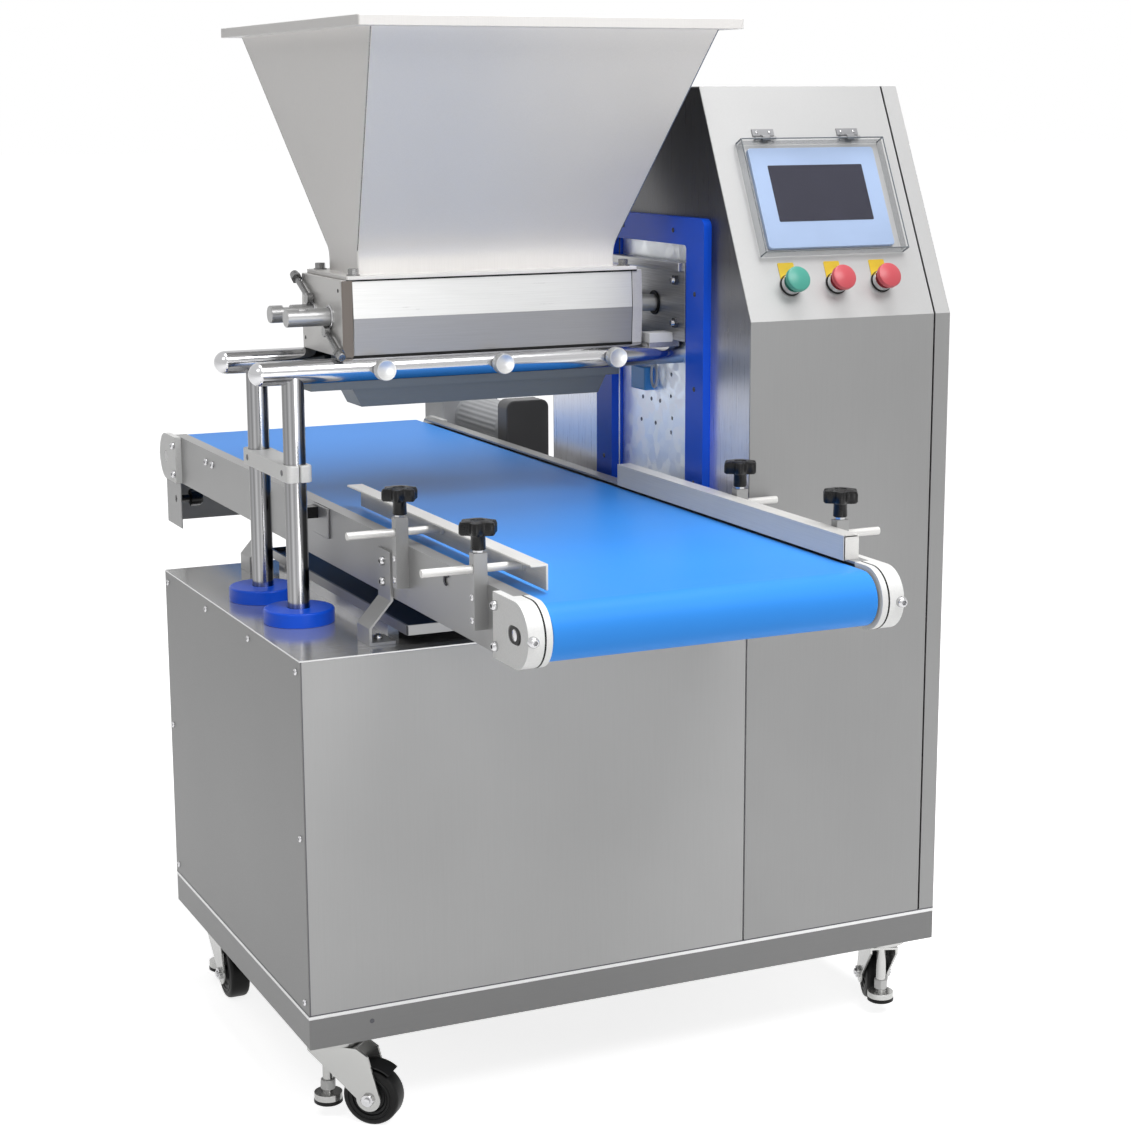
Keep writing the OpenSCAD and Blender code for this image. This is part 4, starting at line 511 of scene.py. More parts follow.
UPRIGHT = (900.0, 900.0, 14.0)
ALONG = (14.0, 900.0, 900.0)
ACROSS = (900.0, 14.0, 900.0)
EVEN = (500.0, 500.0, 500.0)
WEAVE = (1600.0, 700.0, 700.0)
SKIN = 900.0
WALL_DENSITY = 0.5
# Painted reflections on the posts: where each streak lies round the bar, and how bright it is.
PAINTED_STREAK_STOPS = ((0.04, 0.25), (0.2, 0.55), (0.3, 0.36), (0.38, 0.8), (0.5, 0.45), (0.6, 0.7), (0.68, 1.4),
           (0.76, 1.0), (0.84, 0.2), (0.96, 0.15))
# Painted light on the slot panel: a painted reflection makes its foot light and painted shade makes its top dark.
SHADED_ABOVE_REFLECTING_BELOW = (painted_reflection_and_shade, {"Foot": 0.88, "Top": 1.12, "Low": 3.6, "High": 0.4})
# Painted light on the console's leaning face.
PAINTED_SLOPE_LIGHT = (painted_slope_light, {"Lean": 1.6})
PAINTED_REFLECTIONS = (painted_reflection_streaks, {"Across": (0.906, -0.423, 0.0)})


def metal(name, rgb, rough, stretch=UPRIGHT, metallic=0.85, contrast=0.05, cloud=0.04, relief=0.05,
          painted_light_tone=None):
    """Brushed, ground or polished metal with a grain along one direction, and painted light and shade from a tone
    group if one is given.
    """
    material, tree, shader = new_finish(name, Metallic=metallic)
    grain = use(tree, brushed_grain, Stretch=stretch)
    tones = [spread(tree, grain, 1 - contrast, 1 + contrast)]
    if cloud:
        tones.append(use(tree, cloudy_tone, Scale=3.0, Low=1 - cloud, High=1 + cloud))
    # The given tone group paints light, shade and reflections into the colour.
    if painted_light_tone:
        group, values = painted_light_tone
        tones.append(use(tree, group, **values))
    matt = spread(tree, grain, rough * 0.85, rough * 1.15)
    feed(tree, shader, shade(tree, (*rgb,), *tones), matt, grain if relief else None, relief)
    return material


def galvanised(name, rgb):
    """Zinc-coated sheet with crystal flakes."""
    material, tree, shader = new_finish(name, Metallic=0.85)
    flake = use(tree, spangle, Scale=70.0)
    clouds = use(tree, cloudy_tone, Scale=6.0, Low=0.95, High=1.05)
    base = shade(tree, (*rgb,), spread(tree, flake, 0.97, 1.03), clouds)
    feed(tree, shader, base, spread(tree, flake, 0.36, 0.5))
    return material


def moulded(name, rgb, rough, relief=0.15, grain=SKIN, sheen=0.5):
    """Plastic, rubber or paint with a fine moulded skin."""
    material, tree, shader = new_finish(name, Specular_IOR_Level=sheen)
    pores = use(tree, brushed_grain, Stretch=(grain, grain, grain))
    base = shade(tree, (*rgb,), use(tree, cloudy_tone, Scale=9.0, Low=0.94, High=1.06))
    feed(tree, shader, base, spread(tree, pores, rough * 0.88, rough * 1.12), pores, relief, 0.1)
    return material


def belting(name, rgb):
    """Matt belt with a fine cross weave pressed into its face; it passes on paler light."""
    material, tree, shader = new_finish(name, Specular_IOR_Level=0.12)
    weave = use(tree, brushed_grain, Stretch=WEAVE)
    clouds = use(tree, cloudy_tone, Scale=2.2, Low=0.95, High=1.05)
    pale = bpy.context.scene.depositor_colours.belt_light
    bounced = add(tree, "LightPath").outputs["Is Diffuse Ray"]
    seen = add(tree, "Mix", {"Factor": bounced, 6: (*rgb, 1.0), 7: (*pale, 1.0)}, data_type="RGBA")
    base = shade(tree, seen.outputs[2], clouds, spread(tree, weave, 0.98, 1.02))
    feed(tree, shader, base, spread(tree, clouds, 0.32, 0.42), weave, 0.10, 0.1)
    return material


def screen_glass(name, rgb):
    """Dark matt display."""
    material, tree, shader = new_finish(name, Specular_IOR_Level=0.2)
    clouds = use(tree, cloudy_tone, Scale=14.0, Low=0.92, High=1.08)
    feed(tree, shader, shade(tree, (*rgb,), clouds), spread(tree, clouds, 0.40, 0.50))
    return material


def clear_plastic(name, wall):
    """Clear acrylic that is looked straight through, with greyer walls and a gloss at grazing views."""
    material, tree, shader = new_finish(name, Metallic=1.0)
    tree.links.new(use(tree, cloudy_tone, Scale=12.0, Low=0.03, High=0.08), shader.inputs["Roughness"])
    normal = add(tree, "TexCoord").outputs["Normal"]
    faces_out = add(tree, "VectorMath", {0: normal, 1: OUT}, operation="DOT_PRODUCT").outputs["Value"]
    side = spread(tree, combine(tree, "ABSOLUTE", faces_out), 1.0, 0.0, 0.3, 0.7)
    tint = add(tree, "Mix", {"Factor": side, 6: WHITE, 7: (*wall, 1.0)}, data_type="RGBA")
    tree.links.new(tint.outputs[2], shader.inputs["Base Color"])
    rim = add(tree, "Fresnel", {"IOR": 1.25}).outputs[0]
    seen = combine(tree, "MAXIMUM", rim, combine(tree, "MULTIPLY", side, WALL_DENSITY))
    front = combine(tree, "SUBTRACT", 1.0, add(tree, "NewGeometry").outputs["Backfacing"])
    tree.links.new(combine(tree, "MULTIPLY", seen, front), shader.inputs["Alpha"])
    return material


# Each finish: its maker, its colour, and the maker's other values in their order

FINISHES = {
    "stainless_sheet": (metal, "sheet", 0.42, UPRIGHT, 0.35, 0.03),
    # The tower's leaning face is brightened with painted light.
    "tower_steel": (metal, "tower", 0.42, UPRIGHT, 0.35, 0.03, 0.04, 0.05, PAINTED_SLOPE_LIGHT),
    # On the left side panel this darker steel is painted shade.
    "base_steel": (metal, "base", 0.42, ALONG, 0.35, 0.03),
    "work_plate_steel": (metal, "work_plate", 0.16, ALONG, 0.6, 0.03),
    # The slot panel carries painted shade at its top and a painted reflection at its foot.
    "slot_panel_steel": (metal, "inner_panel", 0.30, UPRIGHT, 0.7, 0.1, 0.0, 0.05, SHADED_ABOVE_REFLECTING_BELOW),
    # The posts carry painted reflections set by the heading of their surface.
    "post_steel": (metal, "polished", 0.16, EVEN, 1.0, 0.03, 0.0, 0.0, PAINTED_REFLECTIONS),
    # Painted shade on the left end plate's front edge.
    "plate_edge_steel": (metal, "plate_edge", 0.36, UPRIGHT, 0.4),
    "bolt_steel": (metal, "bolts", 0.26, EVEN, 0.8),
    # Painted highlight along the base's top edge.
    "hem_steel": (metal, "hem", 0.30, ALONG, 0.4, 0.03),
    "hopper_steel": (metal, "hopper", 0.40, UPRIGHT, 0.08, 0.03),
    "hopper_inside": (metal, "hopper_inside", 0.34, UPRIGHT, 0.5, 0.03),
    "housing_steel": (metal, "housing", 0.32, ALONG, 0.5),
    "end_plate_steel": (metal, "end_plate", 0.36, EVEN, 0.4),
    # Painted shade on the housing's lower half, also used as the hinges' grey.
    "lower_plate_steel": (metal, "lower_plate", 0.34, ALONG, 0.6),
    "dark_steel": (metal, "dark", 0.40, EVEN, 0.7),
    "white_plastic": (moulded, "white", 0.40),
    "sensor_blue": (moulded, "sensor", 0.36),
    "manifold_metal": (metal, "manifold", 0.42, ALONG, 0.5),
    "polished_steel": (metal, "polished", 0.13, EVEN, 1.0, 0.02, 0.02, 0.01),
    "satin_aluminium": (metal, "aluminium", 0.45, EVEN, 0.1),
    "guide_steel": (metal, "guides", 0.34, ACROSS, 0.2),
    "bracket_steel": (metal, "bracket", 0.34, ACROSS, 0.85, 0.3),
    "galvanised_sheet": (galvanised, "galvanised"),
    "fastener_steel": (metal, "polished", 0.2, EVEN, 1.0),
    "conveyor_steel": (metal, "conveyor", 0.40, ACROSS, 0.4),
    "roller_steel": (metal, "shafts", 0.36, ALONG, 0.6),
    "blue_plastic": (moulded, "blue", 0.34, 0.05, SKIN, 0.3),
    "blue_belt": (belting, "belt"),
    "screen_bezel": (moulded, "bezel", 0.3, 0.05),
    "clear_cover": (clear_plastic, "cover_edge"),
    "button_metal": (metal, "polished", 0.12, EVEN, 1.0, 0.01, 0.01, 0.0),
    "yellow_plate": (moulded, "yellow", 0.4),
    "green_button": (moulded, "green", 0.32, 0.05),
    "red_button": (moulded, "red", 0.32, 0.05),
    "motor_paint": (moulded, "motor", 0.45, 0.3, 350.0),
    "fan_cover_black": (moulded, "black", 0.45, 0.15, SKIN, 0.25),
    "fan_cover_grey": (moulded, "fan_cover", 0.42),
    "cover_edge": (moulded, "cover_edge", 0.25),
    "knob_black": (moulded, "black", 0.28, 0.08, SKIN, 0.25),
    "tray_black": (moulded, "tray", 0.42, 0.25, 600.0),
    "caster_zinc": (metal, "zinc", 0.22, UPRIGHT, 0.75, 0.01, 0.15, 0.01),
    "wheel_black": (moulded, "rubber", 0.45, 0.15, SKIN, 0.2),
    "display_glass": (screen_glass, "display"),
}


def finish(name):
    """The material of that name, made once."""
    if name not in MATERIALS:
        maker, tint, *values = FINISHES[name]
        MATERIALS[name] = maker(name, getattr(bpy.context.scene.depositor_colours, tint), *values)
    return MATERIALS[name]


# Meshes

def ring(reach, height, steps=ROUND):
    """Points round the Z axis; reach is a radius, or gives the radius at an angle."""
    angles = [math.tau * i / steps for i in range(steps)]
    radii = [reach(a) if callable(reach) else reach for a in angles]
    return [Vector((r * math.cos(a), r * math.sin(a), height)) for r, a in zip(radii, angles)]


def sided(radius, sides):
    """The reach of a regular polygon with that corner radius."""
    half = math.pi / sides
    return lambda angle: radius * math.cos(half) / math.cos(angle % (2 * half) - half)


def waved(radius, depth, count):
    """The reach of a circle with that many soft valleys of that depth."""
    return lambda angle: radius - depth * (1 - math.cos(count * angle)) / 2


def skin(bm, rings, place=Matrix(), looped=False):
    """Walls between rings with equal counts of points; open ends are closed with a face."""
    loops = [[bm.verts.new(place @ point) for point in points] for points in rings]
    follow = loops[1:] + loops[:1] if looped else loops[1:]
    for near, far in zip(loops, follow):
        for i in range(len(near)):
            j = (i + 1) % len(near)
            bm.faces.new((near[i], near[j], far[j], far[i]))
    if not looped:
        bm.faces.new(reversed(loops[0]))
        bm.faces.new(loops[-1])
    return bm


def turned(bm, profile, place=Matrix(), steps=ROUND, looped=False):
    """A turned solid; its profile is a list of reach and height."""
    return skin(bm, [ring(reach, height, steps) for reach, height in profile], place, looped)


def disc(bm, reach, height, place):
    """A flat plate, round or with another reach."""
    turned(bm, [(reach, 0.0), (reach, height)], place, SCREW_STEPS)


def shares(profile, radius, height):
    """A profile given in shares of a radius and a height."""
    return [(radius * r, height * h) for r, h in profile]


def washer(inner, outer, low, high):
    """The profile of a flat ring."""
    return [(inner, low), (outer, low), (outer, high), (inner, high)]


def mirrored(profile):
    """The profile of a ring whose two sides are the same, from the one of its upper side."""
    return [(r, -h) for r, h in profile] + [(r, h) for r, h in reversed(profile)]


def at_height(outline, z):
    """The points of an outline in X and Y at one height."""
    return [Vector((x, y, z)) for x, y in outline]


def prism(bm, outline, low, high, place=Matrix()):
    """An outline in X and Y drawn from one height to another."""
    return skin(bm, [at_height(outline, z) for z in (low, high)], place)


def rounded(width, depth, radius, steps=6):
    """The outline of a rectangle about the origin with round corners."""
    points = []
    for turn, (sx, sy) in enumerate(QUARTERS):
        for i in range(steps + 1):
            angle = math.pi / 2 * (turn + i / steps)
            points.append((sx * (width / 2 - radius) + radius * math.cos(angle),
                           sy * (depth / 2 - radius) + radius * math.sin(angle)))
    return points


def block(bm, middle, size):
    """A plain block about a middle point."""
    prism(bm, [(sx * size[0] / 2, sy * size[1] / 2) for sx, sy in QUARTERS],
          -size[2] / 2, size[2] / 2, Matrix.Translation(middle))


def tube(bm, path, normal, radius, closed=False, steps=12):
    """A round wire along some points that lie in one plane."""
    rings = []
    for i, point in enumerate(path):
        near = path[i - 1] if i or closed else point
        far = path[(i + 1) % len(path)] if i + 1 < len(path) or closed else point
        side = normal.cross((far - near).normalized())
        rings.append([point + normal * dot.x + side * dot.y for dot in ring(radius, 0.0, steps)])
    skin(bm, rings, looped=closed)


def arc(centre, across, up, radius, start, end, steps=24):
    """Points of an arc from one angle to another, in the plane of two directions."""
    angles = [start + (end - start) * i / steps for i in range(steps + 1)]
    return [centre + across * (radius * math.cos(a)) + up * (radius * math.sin(a)) for a in angles]


def facing(direction, at):
    """A place whose own Z axis points along a direction."""
    return Matrix.Translation(at) @ Vector(direction).to_track_quat("Z", "Y").to_matrix().to_4x4()


def floor_under(point):
    """The place on the floor below a point."""
    return Matrix.Translation((point.x, point.y, 0.0))


def axes(across, up, out, at):
    """A place with these own X, Y and Z axes."""
    turn = Matrix((across, up, out)).transposed().to_4x4()
    return Matrix.Translation(at) @ turn


SIDEWAYS = axes(Y, Z, X, Vector())
OUT = -Vector(JOINTS["start_press"]["axis"])
UP = OUT.cross(X)


def sloped(points):
    """How far points lie across, up and out along the console's leaning face."""
    return [Vector((p.x, p.dot(UP), p.dot(OUT))) for p in points]


def on_slope(across, up, out):
    """The point that lies so far across, up and out along the leaning face."""
    return X * across + UP * up + OUT * out


def axis_point(joint, x):
    """The point of a joint's axis at some place across the machine."""
    at = Vector(JOINTS[joint]["pos_m"])
    at.x = x
    return at


def islands(node):
    """The points of each separate solid of a CAD node."""
    bm = bmesh.new()
    bm.from_mesh(NODES[node].data)
    bmesh.ops.remove_doubles(bm, verts=bm.verts, dist=SAME_POINT)
    left = set(bm.verts)
    groups = []
    for start in bm.verts:
        if start not in left:
            continue
        left.discard(start)
        stack, group = [start], []
        while stack:
            vert = stack.pop()
            group.append(vert.co.copy())
            near = [edge.other_vert(vert) for edge in vert.link_edges]
            stack += [other for other in near if other in left]
            left.difference_update(near)
        groups.append(group)
    bm.free()
    return groups


def corners(points):
    """The lowest and highest corner of some points."""
    return (Vector([min(p[i] for p in points) for i in range(3)]),
            Vector([max(p[i] for p in points) for i in range(3)]))


def box(node):
    """The lowest and highest corner of a CAD node."""
    low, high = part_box(node)
    return Vector(low), Vector(high)


def within(node, x, y, z):
    """The point at these shares of a CAD node's box."""
    low, high = box(node)
    return Vector([a + (b - a) * s for a, b, s in zip(low, high, (x, y, z))])


def outer_face(points):
    """The middle of the points that stand farthest out of the console's leaning face."""
    places = sloped(points)
    reach = max(p.z for p in places)
    low, high = corners([p for p in places if p.z > reach - FACE_DEPTH])
    middle = (low + high) / 2
    return on_slope(middle.x, middle.y, reach)


def points_of(node):
    """The corner points of a CAD node."""
    return [vert.co.copy() for vert in NODES[node].data.vertices]


def round_edges(obj, width, segments=2):
    """Rounds an object's sharp edges with modifiers."""
    bevel = obj.modifiers.new("Rounded edges", "BEVEL")
    bevel.width = width
    bevel.segments = segments
    bevel.limit_method = "ANGLE"
    bevel.angle_limit = BEVEL_ANGLE
    bevel.use_clamp_overlap = True
    obj.modifiers.new("Even shading", "WEIGHTED_NORMAL").keep_sharp = True


def piece(name, bm, body, slot, look=None, edge=0.0, replaces=()):
    """Turns a mesh into a piece that rides on a body."""
    bmesh.ops.recalc_face_normals(bm, faces=bm.faces)
    mesh = bpy.data.meshes.new(name)
    bm.to_mesh(mesh)
    bm.free()
    mesh.shade_smooth()
    mesh.set_sharp_from_angle(angle=SHARP_ANGLE)
    mesh.materials.append(finish(look or slot))
    obj = bpy.data.objects.new(name, mesh)
    bpy.context.scene.collection.objects.link(obj)
    if edge:
        round_edges(obj, edge)
    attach(obj, body)
    if replaces:
        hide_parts(*replaces)
    return obj


def dress(names, edge=0.0, segments=2, look=None):
    """Gives CAD nodes their finish, and round edges where they are asked for."""
    for name in names:
        node = NODES[name]
        for held in node.material_slots:
            held.material = finish(look or SLOT_OF[name])
        if edge:
            node.modifiers.new("Joined corners", "WELD").merge_threshold = SAME_POINT
            flat = node.modifiers.new("Whole faces", "DECIMATE")
            flat.decimate_type = "DISSOLVE"
            flat.angle_limit = FLAT_ANGLE
            round_edges(node, edge, segments)


# Screws, with their shapes in shares of radius and height

DOME = ((1.0, 0.0), (1.0, 0.3), (0.95, 0.6), (0.82, 0.85), (0.62, 1.0))
SOCKET = ((0.5, 1.0), (0.46, 0.4))
HEAD_EDGE = 0.9
STUD_NUT, STUD_PITCH, STUD_CORE = 0.55, MM, 0.86
WASHER_H, WASHER_R = 0.16, 1.22
BOLT_SIDE, BOLT_TOP = 0.9, 0.9


def seat(points):
    """The place under a CAD screw's head, with the head's radius and height and the shank's."""
    low, high = corners(points)
    size = high - low
    along = min(range(3), key=lambda i: abs(size[i - 1] - size[i - 2]))
    middle = (low + high) / 2
    offs = [math.hypot(p[along - 1] - middle[along - 1], p[along - 2] - middle[along - 2]) for p in points]
    radius, shank = max(offs), min(offs)
    head = [p[along] for p, off in zip(points, offs) if off > HEAD_EDGE * radius]
    upward = high[along] - max(head) < min(head) - low[along]
    under, top, end = (min(head), high, low) if upward else (max(head), low, high)
    middle[along] = under
    out = (X, Y, Z)[along] * (1 if upward else -1)
    return facing(out, middle), radius, abs(top[along] - under), shank, abs(end[along] - under)


def socket(radius, height):
    """The profile of a hex socket in a head's face."""
    return [(sided(radius * r, HEX), height * h) for r, h in SOCKET]


def domed_head(radius, height):
    """The profile of a button head with a hex socket."""
    return shares(DOME, radius, height) + socket(radius, height)


def screw_head(bm, radius, height, place):
    """A button head without its shank."""
    turned(bm, domed_head(radius, height), place, SCREW_STEPS)


def domed_screw(bm, points):
    """A button-head screw in the place of a plain CAD screw."""
    place, radius, height, shank, depth = seat(points)
    turned(bm, [(shank, -depth), (shank, 0.0), *domed_head(radius, height)], place, SCREW_STEPS)


def stud(studs, nuts, points):
    """A threaded stud and a hex nut in the place of a plain CAD bolt."""
    place, radius, height, shank, depth = seat(points)
    nut = STUD_NUT * height
    disc(nuts, sided(radius, HEX), nut, place)
    profile = [(shank, -depth), (shank, nut)]
    level = nut
    while level < height:
        profile += [(shank, level), (STUD_CORE * shank, level + STUD_PITCH / 2)]
        level += STUD_PITCH
    turned(studs, profile, place, SCREW_STEPS)


def hex_bolt(bm, points):
    """A hex head on a washer in the place of a plain CAD bolt head."""
    low, high = corners(points)
    radius, height = (high.x - low.x) / 2, high.z - low.z
    rim, step = WASHER_R * radius, WASHER_H * height
    place = Matrix.Translation(((low.x + high.x) / 2, (low.y + high.y) / 2, low.z))
    hexagon = sided(radius, HEX)
    turned(bm, [(rim, 0.0), (rim, step), (hexagon, step), (hexagon, BOLT_SIDE * height),
                (lambda a: min(hexagon(a), BOLT_TOP * radius), height)], place, SCREW_STEPS)


# Operators, with profiles in shares of a radius and a height, and places in shares of a node's box

class DEPOSITOR_OT_cabinet(Operator):
    """Dress the base and the cabinet's panels"""
    bl_idname = "depositor.cabinet"
    bl_label = "Cabinet"

    HEM_IN, SEAM_IN, SEAM_W = MM, 2 * MM, MM

    def execute(self, context):
        edges = context.scene.depositor_edges
        dress(["front_panel", "rear_panels"], edges.sheet)
        # The left side panel takes the base's darker steel as painted shade.
        dress(["base_frame", "left_side_panel"], edges.sheet, look="base_steel")
        dress(["top_plate"], edges.pressed, look="work_plate_steel")
        self.seams(context.scene.depositor_cabinet)
        return {"FINISHED"}

    def seams(self, sizes):
        low, high = box("base_frame")
        middle, size = (low + high) / 2, high - low
        outline = rounded(size.x + 2 * sizes.proud, size.y + 2 * sizes.proud, 2 * sizes.proud)
        inner = rounded(size.x - 2 * self.HEM_IN, size.y - 2 * self.HEM_IN, 2 * sizes.proud)
        # The hem is a bright strip of painted highlight; above it lies the dark joint.
        for name, z, height, look in (("base_hem", high.z - sizes.hem, sizes.hem, "hem_steel"),
                                      ("base_joint", high.z, sizes.joint, "dark_steel")):
            bm = bmesh.new()
            levels = ((outline, z), (outline, z + height), (inner, z + height), (inner, z))
            skin(bm, [at_height(loop, level) for loop, level in levels], floor_under(middle), looped=True)
            piece(name, bm, "frame", SLOT_OF["base_frame"], look)
        bm = bmesh.new()
        panel_low, panel_high = box("front_panel")
        block(bm, (low.x + self.SEAM_IN, low.y, (panel_low.z + panel_high.z) / 2),
              (self.SEAM_W, 2 * sizes.proud, panel_high.z - panel_low.z))
        # The drain hole is a dark disc: painted shade in place of the hole.
        disc(bm, sizes.hole_r, sizes.proud, facing(-Y, (low.x + sizes.hole_x, low.y, sizes.hole_z)))
        piece("front_seam", bm, "frame", SLOT_OF["front_panel"], "dark_steel")


class DEPOSITOR_OT_console(Operator):
    """Dress the console tower and chamfer the slot frame"""
    bl_idname = "depositor.console"
    bl_label = "Console tower"

    def execute(self, context):
        edges = context.scene.depositor_edges
        dress(["console_front_cover", "console_right_panel"], edges.sheet, look="tower_steel")
        # The panel beside the slot gets painted shade and a painted reflection by height.
        dress(["console_left_panel"], edges.sheet, look="slot_panel_steel")
        dress(["slot_frame"], edges.frame, 3)
        return {"FINISHED"}


class DEPOSITOR_OT_screen(Operator):
    """Make the display, the cover's edges and the hinge screws, and dress the screen and its cover"""
    bl_idname = "depositor.screen"
    bl_label = "Touch screen"

    HINGE_SCREWS = (0.2, 0.8)

    def execute(self, context):
        sizes, edges = context.scene.depositor_screen, context.scene.depositor_edges
        dress(["touch_screen"], edges.block)
        dress(["cover_hinges"], edges.block, look="lower_plate_steel")
        dress(["screen_cover"], edges.block, 3)
        at = outer_face(points_of("touch_screen")) + UP * sizes.display_up
        bm = bmesh.new()
        prism(bm, rounded(sizes.display_w, sizes.display_h, sizes.display_r), 0.0, sizes.glass,
              axes(X, UP, OUT, at))
        piece("display", bm, "frame", "screen_bezel", "display_glass")
        self.hinge_screws(sizes)
        self.cover_edges(sizes)
        return {"FINISHED"}

    def cover_edges(self, sizes):
        inset = sizes.edge_r
        points = sloped(points_of("screen_cover"))
        left, right = min(p.x for p in points), max(p.x for p in points)
        low, high = corners([p for p in points if p.x < left + inset])
        foot, top = low.y + inset, high.y - inset
        spots = ((left + inset, foot), (right - inset, foot), (right - inset, top), (left + inset, top))
        loop = [on_slope(x, y, high.z - inset) for x, y in spots]
        feet = [on_slope(x, y, low.z + inset) for x, y in spots]
        bm = bmesh.new()
        tube(bm, loop, OUT, inset, True, WIRE_STEPS)
        for far, near in zip(loop, feet):
            tube(bm, [far, near], X, inset, False, WIRE_STEPS)
        piece("cover_edges", bm, "screen_cover", "clear_cover", "cover_edge")

    def hinge_screws(self, sizes):
        bm = bmesh.new()
        for points in islands("cover_hinges"):
            low, high = corners(sloped(points))
            for along in self.HINGE_SCREWS:
                at = on_slope(low.x + along * (high.x - low.x), high.y - sizes.leaf / 2, low.z + sizes.leaf_t)
                screw_head(bm, sizes.screw_r, sizes.screw_h, facing(OUT, at))
        piece("hinge_screws", bm, "frame", "fastener_steel")


class DEPOSITOR_OT_buttons(Operator):
    """Make the mushroom caps and the dark rings of painted shadow under the collars, and dress the collars and
    plates of the push buttons
    """
    bl_idname = "depositor.buttons"
    bl_label = "Push buttons"

    CAP_EDGE, CAP_BEND = 0.12, 0.3
    CAP_BACK = ((0.93, 1.0), (1.0, 0.9))
    DOME_SPOTS = (0.98, 0.85, 0.7, 0.5, 0.3, 0.05)
    SHADOW_RING_HOLE = 0.8
    PLATE_CORNER = 2 * MM

    def execute(self, context):
        sizes, edges = context.scene.depositor_buttons, context.scene.depositor_edges
        dress(["button_bases"], edges.sheet / 2)
        for name in ("start_button", "stop_button", "emergency_button"):
            self.cap(name, sizes)
        shadow_rings, plates = bmesh.new(), bmesh.new()
        low, high = corners(sloped(points_of("legend_plates")))
        for points in islands("button_bases"):
            self.gasket(shadow_rings, points, high.z, sizes)
            self.plate(plates, points, low, high, sizes)
        piece("button_gaskets", shadow_rings, "frame", "wheel_black")
        piece("button_plates", plates, "frame", SLOT_OF["legend_plates"], edge=edges.sheet / 2,
              replaces=["legend_plates"])
        return {"FINISHED"}

    def plate(self, bm, points, low, high, sizes):
        middle = outer_face(points)
        foot = middle.dot(UP) - sizes.plate_low
        at = on_slope(middle.x, (foot + high.y) / 2, 0.0)
        outline = rounded(sizes.plate_w, high.y - foot, self.PLATE_CORNER)
        prism(bm, outline, low.z, high.z, axes(X, UP, OUT, at))

    def cap(self, name, sizes):
        radius, height, shoulder = sizes.cap_r, -sizes.cap_h, -sizes.dome
        edge = self.CAP_EDGE * radius
        bend, inner = self.CAP_BEND * edge, radius - edge
        profile = [(sizes.stem_r, height - sizes.stem), (sizes.stem_r, height)]
        profile += shares(self.CAP_BACK, radius, height)
        profile += [(radius, shoulder - edge), (radius - bend, shoulder - bend), (inner, shoulder)]
        profile += [(inner * spot, shoulder * spot ** 2) for spot in self.DOME_SPOTS]
        bm = bmesh.new()
        turned(bm, profile, facing(OUT, outer_face(points_of(name))))
        piece(name + "_cap", bm, name, SLOT_OF[name], replaces=[name])

    # Painted shadow: a dark ring at the foot of a collar.
    def gasket(self, bm, points, face, sizes):
        middle = outer_face(points)
        at = middle + OUT * (face - middle.dot(OUT))
        profile = washer(self.SHADOW_RING_HOLE * sizes.ring_r, sizes.ring_r, 0.0, sizes.ring_t)
        turned(bm, profile, facing(OUT, at), looped=True)


class DEPOSITOR_OT_lift(Operator):
    """Dress the posts, collars and bars, and make the clamp block's set screws"""
    bl_idname = "depositor.lift"
    bl_label = "Lift"

    SET_SCREWS, SET_RISE = (0.12, 0.88), 0.1

    def execute(self, context):
        sizes, edges = context.scene.depositor_lift, context.scene.depositor_edges
        dress(["support_bars", "lift_actuator"], edges.sheet)
        # The posts' streaks are painted reflections.
        dress(["lift_posts"], edges.sheet, look="post_steel")
        dress(["post_ties"], edges.pressed)
        dress(["post_collars"], edges.moulded, 3)
        bm = bmesh.new()
        low, high = corners(max(islands("post_ties"), key=lambda points: points[0].z))
        radius, rise = sizes.screw_r, self.SET_RISE * sizes.screw_r
        for along in self.SET_SCREWS:
            at = Vector((low.x, low.y + along * (high.y - low.y), (low.z + high.z) / 2))
            turned(bm, [(radius, 0.0), (radius, rise), *socket(radius, rise)], facing(-X, at), SCREW_STEPS)
        piece("clamp_screws", bm, "head", "fastener_steel", "dark_steel")
        return {"FINISHED"}


